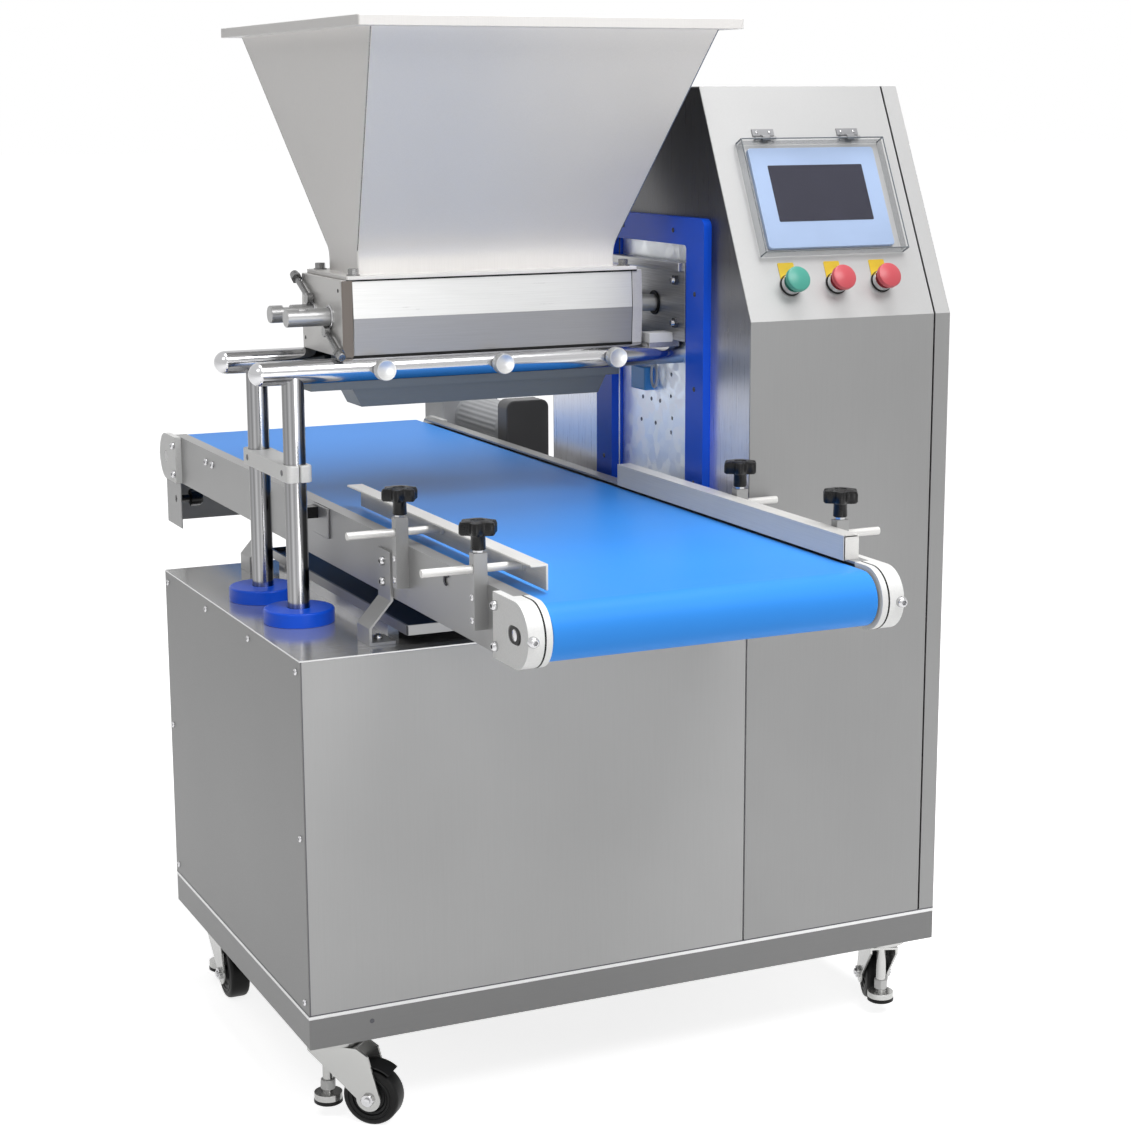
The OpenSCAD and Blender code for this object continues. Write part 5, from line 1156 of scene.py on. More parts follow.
class DEPOSITOR_OT_hopper(Operator):
    """Make the hopper of folded sheet, with a soft bend above its neck"""
    bl_idname = "depositor.hopper"
    bl_label = "Hopper"

    BEND_STEPS = 4
    GASKET_GROW = MM / 2

    def execute(self, context):
        sizes = context.scene.depositor_hopper
        low, high = box("hopper")
        neck_z = low.z + sizes.flange_t
        bend_z = neck_z + sizes.neck_h
        mouth_z = high.z - sizes.rim_h
        mouth_w, mouth_d = high.x - low.x - 2 * sizes.rim_w, high.y - low.y - 2 * sizes.rim_w

        def level(width, depth, z):
            return at_height(rounded(width, depth, sizes.corner), z)

        def wall(z, inset=0.0):
            past = min(max(z - bend_z + sizes.bend, 0.0), 2 * sizes.bend)
            lean = past ** 2 / (4 * sizes.bend) + max(z - bend_z - sizes.bend, 0.0)
            part = lean / (mouth_z - bend_z)
            return level(sizes.neck_w + part * (mouth_w - sizes.neck_w) - 2 * inset,
                         sizes.neck_d + part * (mouth_d - sizes.neck_d) - 2 * inset, z)

        steps = range(-self.BEND_STEPS, self.BEND_STEPS + 1)
        heights = [neck_z, *[bend_z + sizes.bend * i / self.BEND_STEPS for i in steps], mouth_z]
        rings = [wall(low.z, sizes.wall)]
        rings += [level(sizes.flange_w, sizes.flange_d, z) for z in (low.z, neck_z)]
        rings += [wall(z) for z in heights]
        rings += [level(high.x - low.x, high.y - low.y, z) for z in (mouth_z, high.z)]
        rings += [level(mouth_w - 2 * sizes.wall, mouth_d - 2 * sizes.wall, high.z)]
        rings += [wall(z, sizes.wall) for z in reversed(heights)]
        bm = bmesh.new()
        middle = (low + high) / 2
        skin(bm, rings, floor_under(middle), looped=True)
        mouth_edge = len(rings) - len(heights) - 1
        bm.verts.index_update()
        for face in bm.faces:
            levels = {vert.index // len(rings[0]) for vert in face.verts}
            face.material_index = int(all(i == 0 or i >= mouth_edge for i in levels))
        shell = piece("hopper_shell", bm, "head", "hopper_steel", edge=context.scene.depositor_edges.sheet,
                      replaces=["hopper"])
        shell.data.materials.append(finish("hopper_inside"))
        bm = bmesh.new()
        outline = rounded(sizes.flange_w + self.GASKET_GROW, sizes.flange_d + self.GASKET_GROW, sizes.corner)
        prism(bm, outline, low.z - sizes.wall, low.z, floor_under(middle))
        piece("hopper_gasket", bm, "head", "wheel_black")
        bm = bmesh.new()
        inset = sizes.corner / 4
        for sx, sy in QUARTERS:
            ends = []
            for width, depth, z in ((sizes.neck_w, sizes.neck_d, bend_z), (mouth_w, mouth_d, mouth_z)):
                x, y = sx * (width / 2 - inset), sy * (depth / 2 - inset)
                ends.append(Vector((middle.x + x, middle.y + y, z)))
            across = (ends[1] - ends[0]).orthogonal().normalized()
            tube(bm, ends, across, sizes.seam_r, steps=WIRE_STEPS)
        piece("hopper_seams", bm, "head", "hopper_steel", "bolt_steel")
        return {"FINISHED"}


class DEPOSITOR_OT_housing(Operator):
    """Dress the roller housing and the manifold, and make the joints, clips and bolts on them, with a painted
    shadow line under the housing and painted shade plates on its lower half
    """
    bl_idname = "depositor.housing"
    bl_label = "Roller housing"

    CLIP = ((0.8, 0.0), (1.0, 0.0), (1.0, 0.7), (0.96, 1.0), (0.8, 1.0))
    BOLT_END, HOLE_AT = (0.5, 0.42), (-0.42, 0.36)
    EYE_HOLE, ROD_FROM = 0.5, 0.8
    HEAD_NECK, HEAD_NUT, HEAD_DOME = 0.8, 0.4, 0.2
    THUMB_GROW, THUMB_FOOT, THUMB_STEPS = 1.14, 0.9, 160
    THUMB_TOP = ((0.93, 1.0), (0.86, 1.0), (0.8, 0.97), (0.06, 0.91))
    KNURLS, KNURL_DEPTH, KNURL_FROM, KNURL_TO = 40, 0.035, 0.08, 0.9

    def execute(self, context):
        sizes, edges = context.scene.depositor_housing, context.scene.depositor_edges
        dress(["roller_housing", "nozzle_manifold"], edges.sheet)
        dress(["housing_end_plates"], edges.block, look="end_plate_steel")
        self.joints(sizes)
        self.lower_plates(sizes)
        self.clips(sizes)
        self.plate_edge(sizes)
        self.swing_bolts(sizes)
        self.thumb_screws()
        return {"FINISHED"}

    def outline(self, sizes, grow):
        """The housing's outline in Y and Z, made larger all round."""
        low, high = box("roller_housing")
        front, back = low.y + sizes.bulge - grow, high.y - sizes.bulge + grow
        half = (low.z + high.z) / 2
        return [(front, low.z - grow), (back, low.z - grow), (back + sizes.bulge, half),
                (back, high.z), (front, high.z), (front - sizes.bulge, half)]

    def joints(self, sizes):
        low, high = box("roller_housing")
        bm = bmesh.new()
        for x in (low.x, high.x):
            prism(bm, self.outline(sizes, sizes.proud), x - sizes.joint / 2, x + sizes.joint / 2, SIDEWAYS)
        # A dark slab along the housing's underside: a painted shadow line between the housing and the bars.
        block(bm, ((low.x + high.x) / 2, (low.y + high.y) / 2, low.z + sizes.clip_t / 2 - sizes.proud),
              (high.x - low.x, high.y - low.y - 2 * sizes.bulge + 4 * sizes.plate, sizes.clip_t))
        piece("housing_joints", bm, "head", "wheel_black")

    # Painted shade: darker thin plates over the housing's lower half, which faces down.
    def lower_plates(self, sizes):
        low, high = box("roller_housing")
        half, middle = (low.z + high.z) / 2, (low.y + high.y) / 2
        reach = (high.y - low.y) / 2
        bm = bmesh.new()
        for side in (-1, 1):
            outline = [(reach - sizes.bulge, low.z), (reach, half), (reach + sizes.plate, half),
                       (reach + sizes.plate - sizes.bulge, low.z)]
            prism(bm, [(middle + side * y, z) for y, z in outline], low.x + sizes.joint,
                  high.x - sizes.joint, SIDEWAYS)
        piece("housing_lower_plates", bm, "head", "housing_steel", "lower_plate_steel")

    # Painted shade: a dark strip on the front edge of the left end plate only.
    def plate_edge(self, sizes):
        low, high = box("housing_end_plates")
        first = box("roller_housing")[0].x
        bm = bmesh.new()
        block(bm, ((low.x + first) / 2, low.y, (low.z + high.z) / 2),
              (first - low.x - sizes.joint, 2 * sizes.proud, high.z - low.z - sizes.joint))
        piece("end_plate_edge", bm, "head", SLOT_OF["housing_end_plates"], "plate_edge_steel")

    def clips(self, sizes):
        plate = box("housing_end_plates")[0].x
        bm = bmesh.new()
        for joint in FEED_JOINTS:
            turned(bm, shares(self.CLIP, sizes.clip_r, sizes.clip_t), facing(-X, axis_point(joint, plate)),
                   looped=True)
        piece("shaft_clips", bm, "head", "fastener_steel")

    def swing_bolts(self, sizes):
        bm, holes = bmesh.new(), bmesh.new()
        plate = box("housing_end_plates")[0].x

        def spot(side, place):
            return within("housing_end_plates", 0.0, 0.5 + side * place[0], 0.5 + side * place[1])

        for side, joint in zip((-1, 1), FEED_JOINTS):
            up = Z * (side * (sizes.clip_r + sizes.eye_r / 2))
            eye = axis_point(joint, plate) + up - X * sizes.stand
            run = spot(side, self.BOLT_END) - X * sizes.stand - eye
            hole, end = self.EYE_HOLE * sizes.eye_r, run.length
            place = facing(X, eye)
            turned(bm, washer(hole, sizes.eye_r, -sizes.rod_r, sizes.rod_r), place, SCREW_STEPS, True)
            turned(bm, [(hole, -sizes.rod_r), (hole, sizes.stand)], place, SCREW_STEPS)
            nut, neck = sided(sizes.head_r, HEX), self.HEAD_NECK * sizes.head_r
            shoulder = end + self.HEAD_NUT * sizes.head_h
            dome = domed_head(neck, self.HEAD_DOME * sizes.head_h)
            turned(bm, [(sizes.rod_r, self.ROD_FROM * sizes.eye_r), (sizes.rod_r, end), (nut, end),
                        (nut, shoulder), (neck, shoulder), *[(r, end + sizes.head_h + h) for r, h in dome]],
                   facing(run, eye), SCREW_STEPS)
            # The tapped holes are black discs: painted shade in place of holes.
            disc(holes, sizes.hole_r, sizes.proud, facing(-X, spot(side, self.HOLE_AT)))
        piece("swing_bolts", bm, "head", "fastener_steel", "bolt_steel")
        piece("tapped_holes", holes, "head", "wheel_black")

    def thumb_screws(self):
        for number, points in enumerate(sorted(islands("thumb_screws"), key=lambda p: p[0].x), 1):
            place, radius, height, shank, depth = seat(points)
            radius *= self.THUMB_GROW
            knurl = waved(radius, self.KNURL_DEPTH * radius, self.KNURLS)
            profile = [(shank, -depth), (shank, 0.0), (self.THUMB_FOOT * radius, 0.0),
                       (knurl, self.KNURL_FROM * height), (knurl, self.KNURL_TO * height)]
            bm = bmesh.new()
            turned(bm, profile + shares(self.THUMB_TOP, radius, height), place, self.THUMB_STEPS)
            piece(f"thumb_screw_{number}", bm, "head", SLOT_OF["thumb_screws"], "housing_steel",
                  replaces=["thumb_screws"])


class DEPOSITOR_OT_rollers(Operator):
    """Make the two fluted feed rollers with their shafts and gears"""
    bl_idname = "depositor.rollers"
    bl_label = "Feed rollers"

    FLUTES = 12
    TEETH = 20
    STEPS = 240
    GAP, GEAR_GAP = MM / 2, 4 * MM
    TOOTH_FOOT, TOOTH_FULL = 1.15, 2.15
    TOOTH_HALF, TOOTH_FLANK = 0.30, 0.17

    def execute(self, context):
        sizes = context.scene.depositor_rollers
        for number, name in enumerate(("feed_roller_front", "feed_roller_rear")):
            self.roller(name, name.split("_")[2] + "_feed_turn", number * math.pi / self.TEETH, sizes)
        return {"FINISHED"}

    def roller(self, name, joint, turn, sizes):
        low, high = box(name)
        first, last = (corner.x for corner in box("roller_housing"))
        plate = box("housing_end_plates")[0].x
        gear = box("lift_plate")[1].x + self.GEAR_GAP
        axis = Vector(JOINTS[joint]["pos_m"])
        shaft, chamfer = sizes.shaft_r, sizes.chamfer
        notch = low.x + sizes.notch_from
        flat = self.flat(shaft, sizes.notch_flat)
        fluted, toothed, gap = self.fluted(sizes), self.toothed(sizes, turn), self.GAP
        profile = [(shaft - chamfer, low.x), (shaft, low.x + chamfer), (shaft, notch), (flat, notch),
                   (flat, notch + sizes.notch_len), (shaft, notch + sizes.notch_len),
                   (shaft, plate - sizes.ring_w), (shaft - sizes.groove, plate - sizes.ring_w),
                   (shaft - sizes.groove, plate), (shaft, plate), (shaft, first + gap)]
        profile += [(fluted, first + gap), (fluted, last - gap), (shaft, last - gap), (shaft, gear),
                    (toothed, gear), (toothed, gear + sizes.gear_t)]
        if high.x > gear + sizes.gear_t + gap:
            profile += [(shaft, gear + sizes.gear_t), (shaft, high.x)]
        bm = bmesh.new()
        place = axes(Y, Z, X, Vector((0.0, axis.y, axis.z)))
        turned(bm, profile, place, self.STEPS)
        piece(name + "_body", bm, name, SLOT_OF[name], "roller_steel", replaces=[name])

    def flat(self, radius, distance):
        """A shaft with a flat on top."""
        return lambda a: min(radius, distance / max(math.sin(a), MM))

    def fluted(self, sizes):
        """A roller with round flutes along it."""
        step = math.tau / self.FLUTES

        def reach(angle):
            off = (angle + step / 2) % step - step / 2
            side = sizes.body_r * math.sin(off)
            if abs(side) >= sizes.flute_r:
                return sizes.body_r
            return sizes.body_r * math.cos(off) - math.sqrt(sizes.flute_r ** 2 - side ** 2)

        return reach

    def toothed(self, sizes, turn):
        """A gear with straight-sided teeth."""
        step = math.tau / self.TEETH

        def reach(angle):
            off = abs((angle - turn + step / 2) % step - step / 2) / step
            rise = min(max((self.TOOTH_HALF - off) / self.TOOTH_FLANK, 0.0), 1.0)
            return sizes.gear_r - self.TOOTH_FOOT * sizes.tooth + rise * self.TOOTH_FULL * sizes.tooth

        return reach


class DEPOSITOR_OT_bracket(Operator):
    """Dress the bracket, the sliding plate and the roller motor, and make the sensor and pads beside them"""
    bl_idname = "depositor.bracket"
    bl_label = "Bracket"

    STRIP, STRIP_GAP, PAD_OUT, HOLE_T = 0.96, MM, MM / 2, MM / 4
    RING_SHAPE, RING_STEPS = (0.6, 1.2), 32
    HOLES = ((-0.9, 0.9), (-0.3, 0.9), (0.3, 0.9), (-0.6, 1.9), (0.4, 1.9))
    SEAL = ((0.72, 0.0), (1.0, 0.0), (1.0, 0.6), (0.94, 1.0), (0.72, 1.0))

    def execute(self, context):
        sizes, edges = context.scene.depositor_lift, context.scene.depositor_edges
        dress(["head_bracket"], edges.block)
        dress(["lift_plate"], edges.sheet / 2)
        self.seals(sizes)
        dress(["roller_motor"], edges.moulded)
        low, high = box("head_bracket")
        bm = bmesh.new()
        plate = low.x + sizes.pad[0] + self.STRIP_GAP
        block(bm, (plate - sizes.strip_w / 2, (low.y + high.y) / 2, high.z - sizes.strip_h / 2),
              (sizes.strip_w, self.STRIP * (high.y - low.y), sizes.strip_h))
        piece("bracket_strip", bm, "head", "bracket_steel", edge=edges.block)
        self.pads(sizes, edges)
        self.sensor(sizes, edges)
        return {"FINISHED"}

    def pads(self, sizes, edges):
        bars = [corners(points) for points in islands("support_bars")]
        bm = bmesh.new()
        for low, high in bars:
            x = box("head_bracket")[0].x + sizes.pad[0] / 2 - self.PAD_OUT
            at = Vector((x, (low.y + high.y) / 2, high.z + sizes.pad[2] / 2))
            block(bm, at, sizes.pad)
        piece("bar_pads", bm, "head", "satin_aluminium", "white_plastic", edges.block)

    def sensor(self, sizes, edges):
        plate = box("lift_plate")[0]
        low, high = box("support_bars")
        at = Vector((plate.x - sizes.sensor[0] / 2, (low.y + high.y) / 2 + sizes.sensor[1] / 2,
                     low.z - sizes.sensor_drop - sizes.sensor[2] / 2))
        bm = bmesh.new()
        block(bm, at, sizes.sensor)
        piece("sensor_block", bm, "head", "blue_plastic", "sensor_blue", edges.moulded)
        ring_at = at - Y * (sizes.sensor[1] / 2 + sizes.ring_r) + Z * (sizes.ring_r / 2)
        wide, tall = self.RING_SHAPE
        last = self.RING_STEPS - 1
        loop = arc(ring_at, Y * wide, Z * tall, sizes.ring_r, 0.0, math.tau * last / self.RING_STEPS, last)
        bm = bmesh.new()
        tube(bm, loop, X, sizes.ring_wire, True)
        piece("sensor_ring", bm, "head", "blue_plastic", "white_plastic")
        # The holes are dark discs: painted shade in place of holes.
        bm = bmesh.new()
        for along, drop in self.HOLES:
            hole = Vector((plate.x, at.y + along * sizes.sensor[1], at.z - drop * sizes.sensor[2]))
            disc(bm, sizes.hole_r, self.HOLE_T, facing(-X, hole))
        piece("plate_holes", bm, "head", SLOT_OF["lift_plate"], "dark_steel")

    def seals(self, sizes):
        bm = bmesh.new()
        plate = box("head_bracket")[0].x + sizes.pad[0]
        for joint in FEED_JOINTS:
            turned(bm, shares(self.SEAL, sizes.seal_r, sizes.seal_t), facing(-X, axis_point(joint, plate)),
                   looped=True)
        piece("shaft_seals", bm, "head", "wheel_black")


class DEPOSITOR_OT_conveyor(Operator):
    """Dress the conveyor, and make the small fittings on its rails"""
    bl_idname = "depositor.conveyor"
    bl_label = "Conveyor"

    SLOT_ROUND = 0.49
    END_TOP, END_RISE = (0.9, 0.3), 3
    RAIL_SCREWS, RAIL_HEIGHT = (0.843, 0.868), 0.74
    BLOCK_SCREWS, BLOCK_SCREW_H = (0.12, 0.42), 0.4
    BRACKET_AT, HOOK_AT = (0.0, 0.466, 0.72), (0.0, 0.14, 0.76)
    EYE_KNOB_R, EYE_KNOB_H = 1 / 5, 1 / 6
    HOOK_ARC = (-1.6, 2.4)
    KNOB_WAVES, KNOB_WAVE = 8, 0.12
    KNOB_STEM, KNOB_FROM, KNOB_TO, KNOB_TOP = 0.4, 0.1, 0.8, 0.8

    def execute(self, context):
        sizes, edges = context.scene.depositor_conveyor, context.scene.depositor_edges
        dress(["conveyor_frame", "rear_guard"], edges.sheet)
        dress(["conveyor_feet"], edges.block)
        dress(["belt_end_plates"], edges.block, look="satin_aluminium")
        dress(["conveyor_belt", "drive_roller", "idler_roller"], edges.block)
        self.plate_seams(sizes)
        self.rail_fittings(sizes, edges)
        self.guard_knob(sizes)
        return {"FINISHED"}

    def plate_seams(self, sizes):
        low, high = box("belt_end_plates")
        radius = sizes.nose_r + sizes.proud
        middle = (low.z + high.z) / 2
        bm = bmesh.new()
        axis = Vector(JOINTS["idler_roller_turn"]["pos_m"])
        nose = arc(Vector((axis.y, middle, 0.0)), -X, Y, radius, -math.pi / 2, math.pi / 2)
        inner = axis.y + sizes.plate_len
        outline = [(p.x, p.y) for p in nose] + [(inner, middle + radius), (inner, middle - radius)]
        for x in (low.x + sizes.seam_in, high.x - sizes.seam_in):
            prism(bm, outline, x - sizes.seam / 2, x + sizes.seam / 2, SIDEWAYS)
        slots, ends = bmesh.new(), bmesh.new()
        for x, out in ((low.x, -X), (high.x, X)):
            place = axes(Y, Z, out, Vector((x, axis.y, middle)))
            outline = rounded(sizes.slot_w, sizes.slot_h, self.SLOT_ROUND * sizes.slot_h)
            # The tension slots are black plates: painted shade in place of the open slots.
            prism(slots, outline, 0.0, sizes.proud, place)
            tops = [(r * sizes.end_r, self.END_RISE * sizes.proud) for r in self.END_TOP]
            turned(ends, [(sizes.end_r, 0.0), (sizes.end_r, sizes.proud), *tops], place, SCREW_STEPS)
        piece("tension_slots", slots, "frame", "wheel_black")
        piece("tension_ends", ends, "frame", "fastener_steel")
        piece("plate_seams", bm, "frame", "wheel_black")

    def rail_fittings(self, sizes, edges):
        screws = bmesh.new()
        for x, out in ((0.0, -X), (1.0, X)):
            for y in self.RAIL_SCREWS:
                place = facing(out, within("conveyor_frame", x, y, self.RAIL_HEIGHT))
                screw_head(screws, sizes.screw_r, sizes.screw_h, place)
        height = self.BLOCK_SCREW_H * sizes.screw_h
        for points in islands("guide_blocks"):
            low, high = corners(points)
            x, out = (low.x, -X) if low.x < box("conveyor_belt")[0].x else (high.x, X)
            for up in self.BLOCK_SCREWS:
                at = Vector((x, (low.y + high.y) / 2, low.z + up * (high.z - low.z)))
                screw_head(screws, sizes.block_screw_r, height, facing(out, at))
        piece("rail_screws", screws, "frame", "fastener_steel")
        plate = within("conveyor_frame", *self.BRACKET_AT)
        bm = bmesh.new()
        block(bm, plate - X * (sizes.bracket[0] / 2), sizes.bracket)
        piece("sensor_bracket", bm, "frame", "conveyor_steel", edge=edges.block)
        bm = bmesh.new()
        thick, wide, tall = sizes.eye
        at = plate + Vector((-sizes.bracket[0] - thick / 2, sizes.bracket[1] / 4, sizes.bracket[2] / 4))
        block(bm, at, sizes.eye)
        for side in (-1, 1):
            knob = at - X * (thick / 2) + Y * (side * wide / 4)
            screw_head(bm, self.EYE_KNOB_R * tall, self.EYE_KNOB_H * tall, facing(-X, knob))
        piece("belt_sensor", bm, "frame", "knob_black", edge=edges.block)
        hook = within("conveyor_frame", *self.HOOK_AT) - X * sizes.hook_wire
        bm = bmesh.new()
        tube(bm, arc(hook, Y, Z, sizes.hook_r, *self.HOOK_ARC), X, sizes.hook_wire)
        piece("rail_hook", bm, "frame", "fastener_steel", "dark_steel")

    def guard_knob(self, sizes):
        low, high = box("rear_guard")
        radius, height = sizes.guard_knob_r, sizes.guard_knob_h
        at = Vector((low.x + height, low.y + 2 * radius, (low.z + high.z) / 2))
        stem, grip = self.KNOB_STEM * radius, waved(radius, self.KNOB_WAVE * radius, self.KNOB_WAVES)
        bm = bmesh.new()
        turned(bm, [(stem, -height), (stem, 0.0), (grip, self.KNOB_FROM * height),
                    (grip, self.KNOB_TO * height), (self.KNOB_TOP * radius, height)], facing(X, at))
        piece("guard_knob", bm, "frame", "knob_black")


class DEPOSITOR_OT_guides(Operator):
    """Dress the side guides and their blocks, and make the star knobs"""
    bl_idname = "depositor.guides"
    bl_label = "Guides and knobs"

    LOBES = 6
    HUB = ((0.9, 1.0), (1.0, 0.97))
    NECK = ((0.95, 1.15), (1.1, 1.0))
    STAR_IN, VALLEY_IN, STAR_LEVELS = 0.93, 0.9, (0.97, 0.85, 0.3, 0.08)
    DISH = ((0.8, 0.0), (0.48, 0.0), (0.44, 0.06), (0.05, 0.06))
    KNOB_STEPS, FOLD_STEPS = 96, 8

    def execute(self, context):
        sizes, edges = context.scene.depositor_conveyor, context.scene.depositor_edges
        dress(["guide_blocks"], edges.block, look="conveyor_steel")
        dress(["left_guide", "right_guide"], edges.sheet, look="guide_steel")
        low, high = box("right_guide")
        lip, bend = sizes.guide_lip, sizes.guide_bend
        middle = Vector((low.x + lip - bend, high.z - bend, 0.0))
        fold = [(p.x, p.y) for p in arc(middle, X, Y, bend, 0.0, math.pi / 2, self.FOLD_STEPS)]
        bm = bmesh.new()
        prism(bm, [(low.x, low.z), (low.x + lip, low.z), *fold, (low.x, high.z)], -sizes.guide_t, 0.0,
              axes(X, Z, -Y, Y * low.y))
        piece("right_guide_end", bm, "right_guide", SLOT_OF["right_guide"], "guide_steel", edges.sheet)
        for number in range(1, 5):
            self.knob(f"guide_knob_{number}", context.scene.depositor_knobs)
        return {"FINISHED"}

    def knob(self, name, sizes):
        low, high = box(name)
        at = Vector(JOINTS[name + "_turn"]["pos_m"])
        at.z = high.z
        place = Matrix.Translation(at)
        under, foot = -sizes.head_h, -sizes.head_h - sizes.hub_h
        star = waved(sizes.head_r, sizes.lobe, self.LOBES)
        inner = waved(self.STAR_IN * sizes.head_r, self.VALLEY_IN * sizes.lobe, self.LOBES)
        profile = shares(self.HUB, sizes.hub_r, foot) + shares(self.NECK, sizes.hub_r, under)
        profile += [(reach, h * under) for reach, h in zip((inner, star, star, inner), self.STAR_LEVELS)]
        profile += shares(self.DISH, sizes.head_r - sizes.lobe, under)
        bm = bmesh.new()
        turned(bm, profile, place, self.KNOB_STEPS)
        piece(name + "_grip", bm, name, SLOT_OF[name], replaces=[name])
        bm = bmesh.new()
        nut, screw, under_nut = sided(sizes.nut_r, HEX), sizes.screw_r, foot - sizes.nut_h
        turned(bm, [(screw, low.z - high.z), (screw, under_nut), (nut, under_nut), (nut, foot)], place,
               SCREW_STEPS)
        piece(name + "_stud", bm, name, "fastener_steel", replaces=[name])


class DEPOSITOR_OT_tray(Operator):
    """Dress the crumb tray and make its bright rim"""
    bl_idname = "depositor.tray"
    bl_label = "Crumb tray"

    def execute(self, context):
        sizes, edges = context.scene.depositor_conveyor, context.scene.depositor_edges
        dress(["crumb_tray"], edges.sheet)
        low, high = box("crumb_tray")
        middle, size = (low + high) / 2, high - low
        rings = []
        for grow, z in ((sizes.proud, low.z), (sizes.proud, high.z + sizes.proud),
                        (-sizes.tray_rim, high.z + sizes.proud), (-sizes.tray_rim, high.z - sizes.proud),
                        (-sizes.proud, high.z - sizes.proud), (-sizes.proud, low.z)):
            outline = rounded(size.x + 2 * grow, size.y + 2 * grow, sizes.tray_rim + grow)
            rings.append(at_height(outline, z))
        bm = bmesh.new()
        skin(bm, rings, floor_under(middle), looped=True)
        piece("tray_rim", bm, "crumb_tray", "tray_black", "conveyor_steel")
        return {"FINISHED"}


class DEPOSITOR_OT_drive(Operator):
    """Dress the belt motor and its fan cover, and make the motor's fins"""
    bl_idname = "depositor.drive"
    bl_label = "Belt drive"

    FINS, FIN_STEPS = 28, 8

    def execute(self, context):
        sizes, edges = context.scene.depositor_drive, context.scene.depositor_edges
        dress(["belt_motor"], edges.moulded)
        dress(["motor_fan_cover"], edges.moulded, look="fan_cover_grey")
        low, high = box("belt_motor")
        cover_low, cover_high = box("motor_fan_cover")
        middle = (cover_low + cover_high) / 2
        radius = (cover_high.x - cover_low.x) / 2
        fins = waved(radius + sizes.fin, sizes.fin, self.FINS)
        place = axes(X, Z, -Y, Vector((middle.x, 0.0, middle.z)))
        bm = bmesh.new()
        turned(bm, [(fins, -low.y - sizes.fin_gap), (fins, -high.y + sizes.gearbox + sizes.fin_gap)], place,
               self.FIN_STEPS * self.FINS)
        piece("motor_fins", bm, "frame", "motor_paint", edge=edges.sheet)
        return {"FINISHED"}


class DEPOSITOR_OT_screws(Operator):
    """Make the machine's screws and bolts"""
    bl_idname = "depositor.screws"
    bl_label = "Screws"

    STUD_LONGER = 5 * MM

    def execute(self, context):
        panel, slot = bmesh.new(), bmesh.new()
        face = box("slot_frame")[0]
        for points in islands("frame_screws"):
            low, high = corners(points)
            in_slot_frame = low.x < face.x < high.x and low.z > face.z and low.y > face.y
            domed_screw(slot if in_slot_frame else panel, points)
        piece("panel_screws", panel, "frame", SLOT_OF["frame_screws"], replaces=["frame_screws"])
        piece("slot_screws", slot, "frame", SLOT_OF["frame_screws"], "dark_steel", replaces=["frame_screws"])
        studs, nuts, bolts = bmesh.new(), bmesh.new(), bmesh.new()
        for points in islands("head_bolts"):
            low, high = corners(points)
            if high.x - low.x > high.y - low.y + self.STUD_LONGER:
                stud(studs, nuts, points)
            else:
                hex_bolt(bolts, points)
        piece("bracket_studs", studs, "head", SLOT_OF["head_bolts"], replaces=["head_bolts"])
        piece("bracket_nuts", nuts, "head", SLOT_OF["head_bolts"], "dark_steel", replaces=["head_bolts"])
        piece("hopper_bolts", bolts, "head", SLOT_OF["head_bolts"], "bolt_steel", replaces=["head_bolts"])
        return {"FINISHED"}


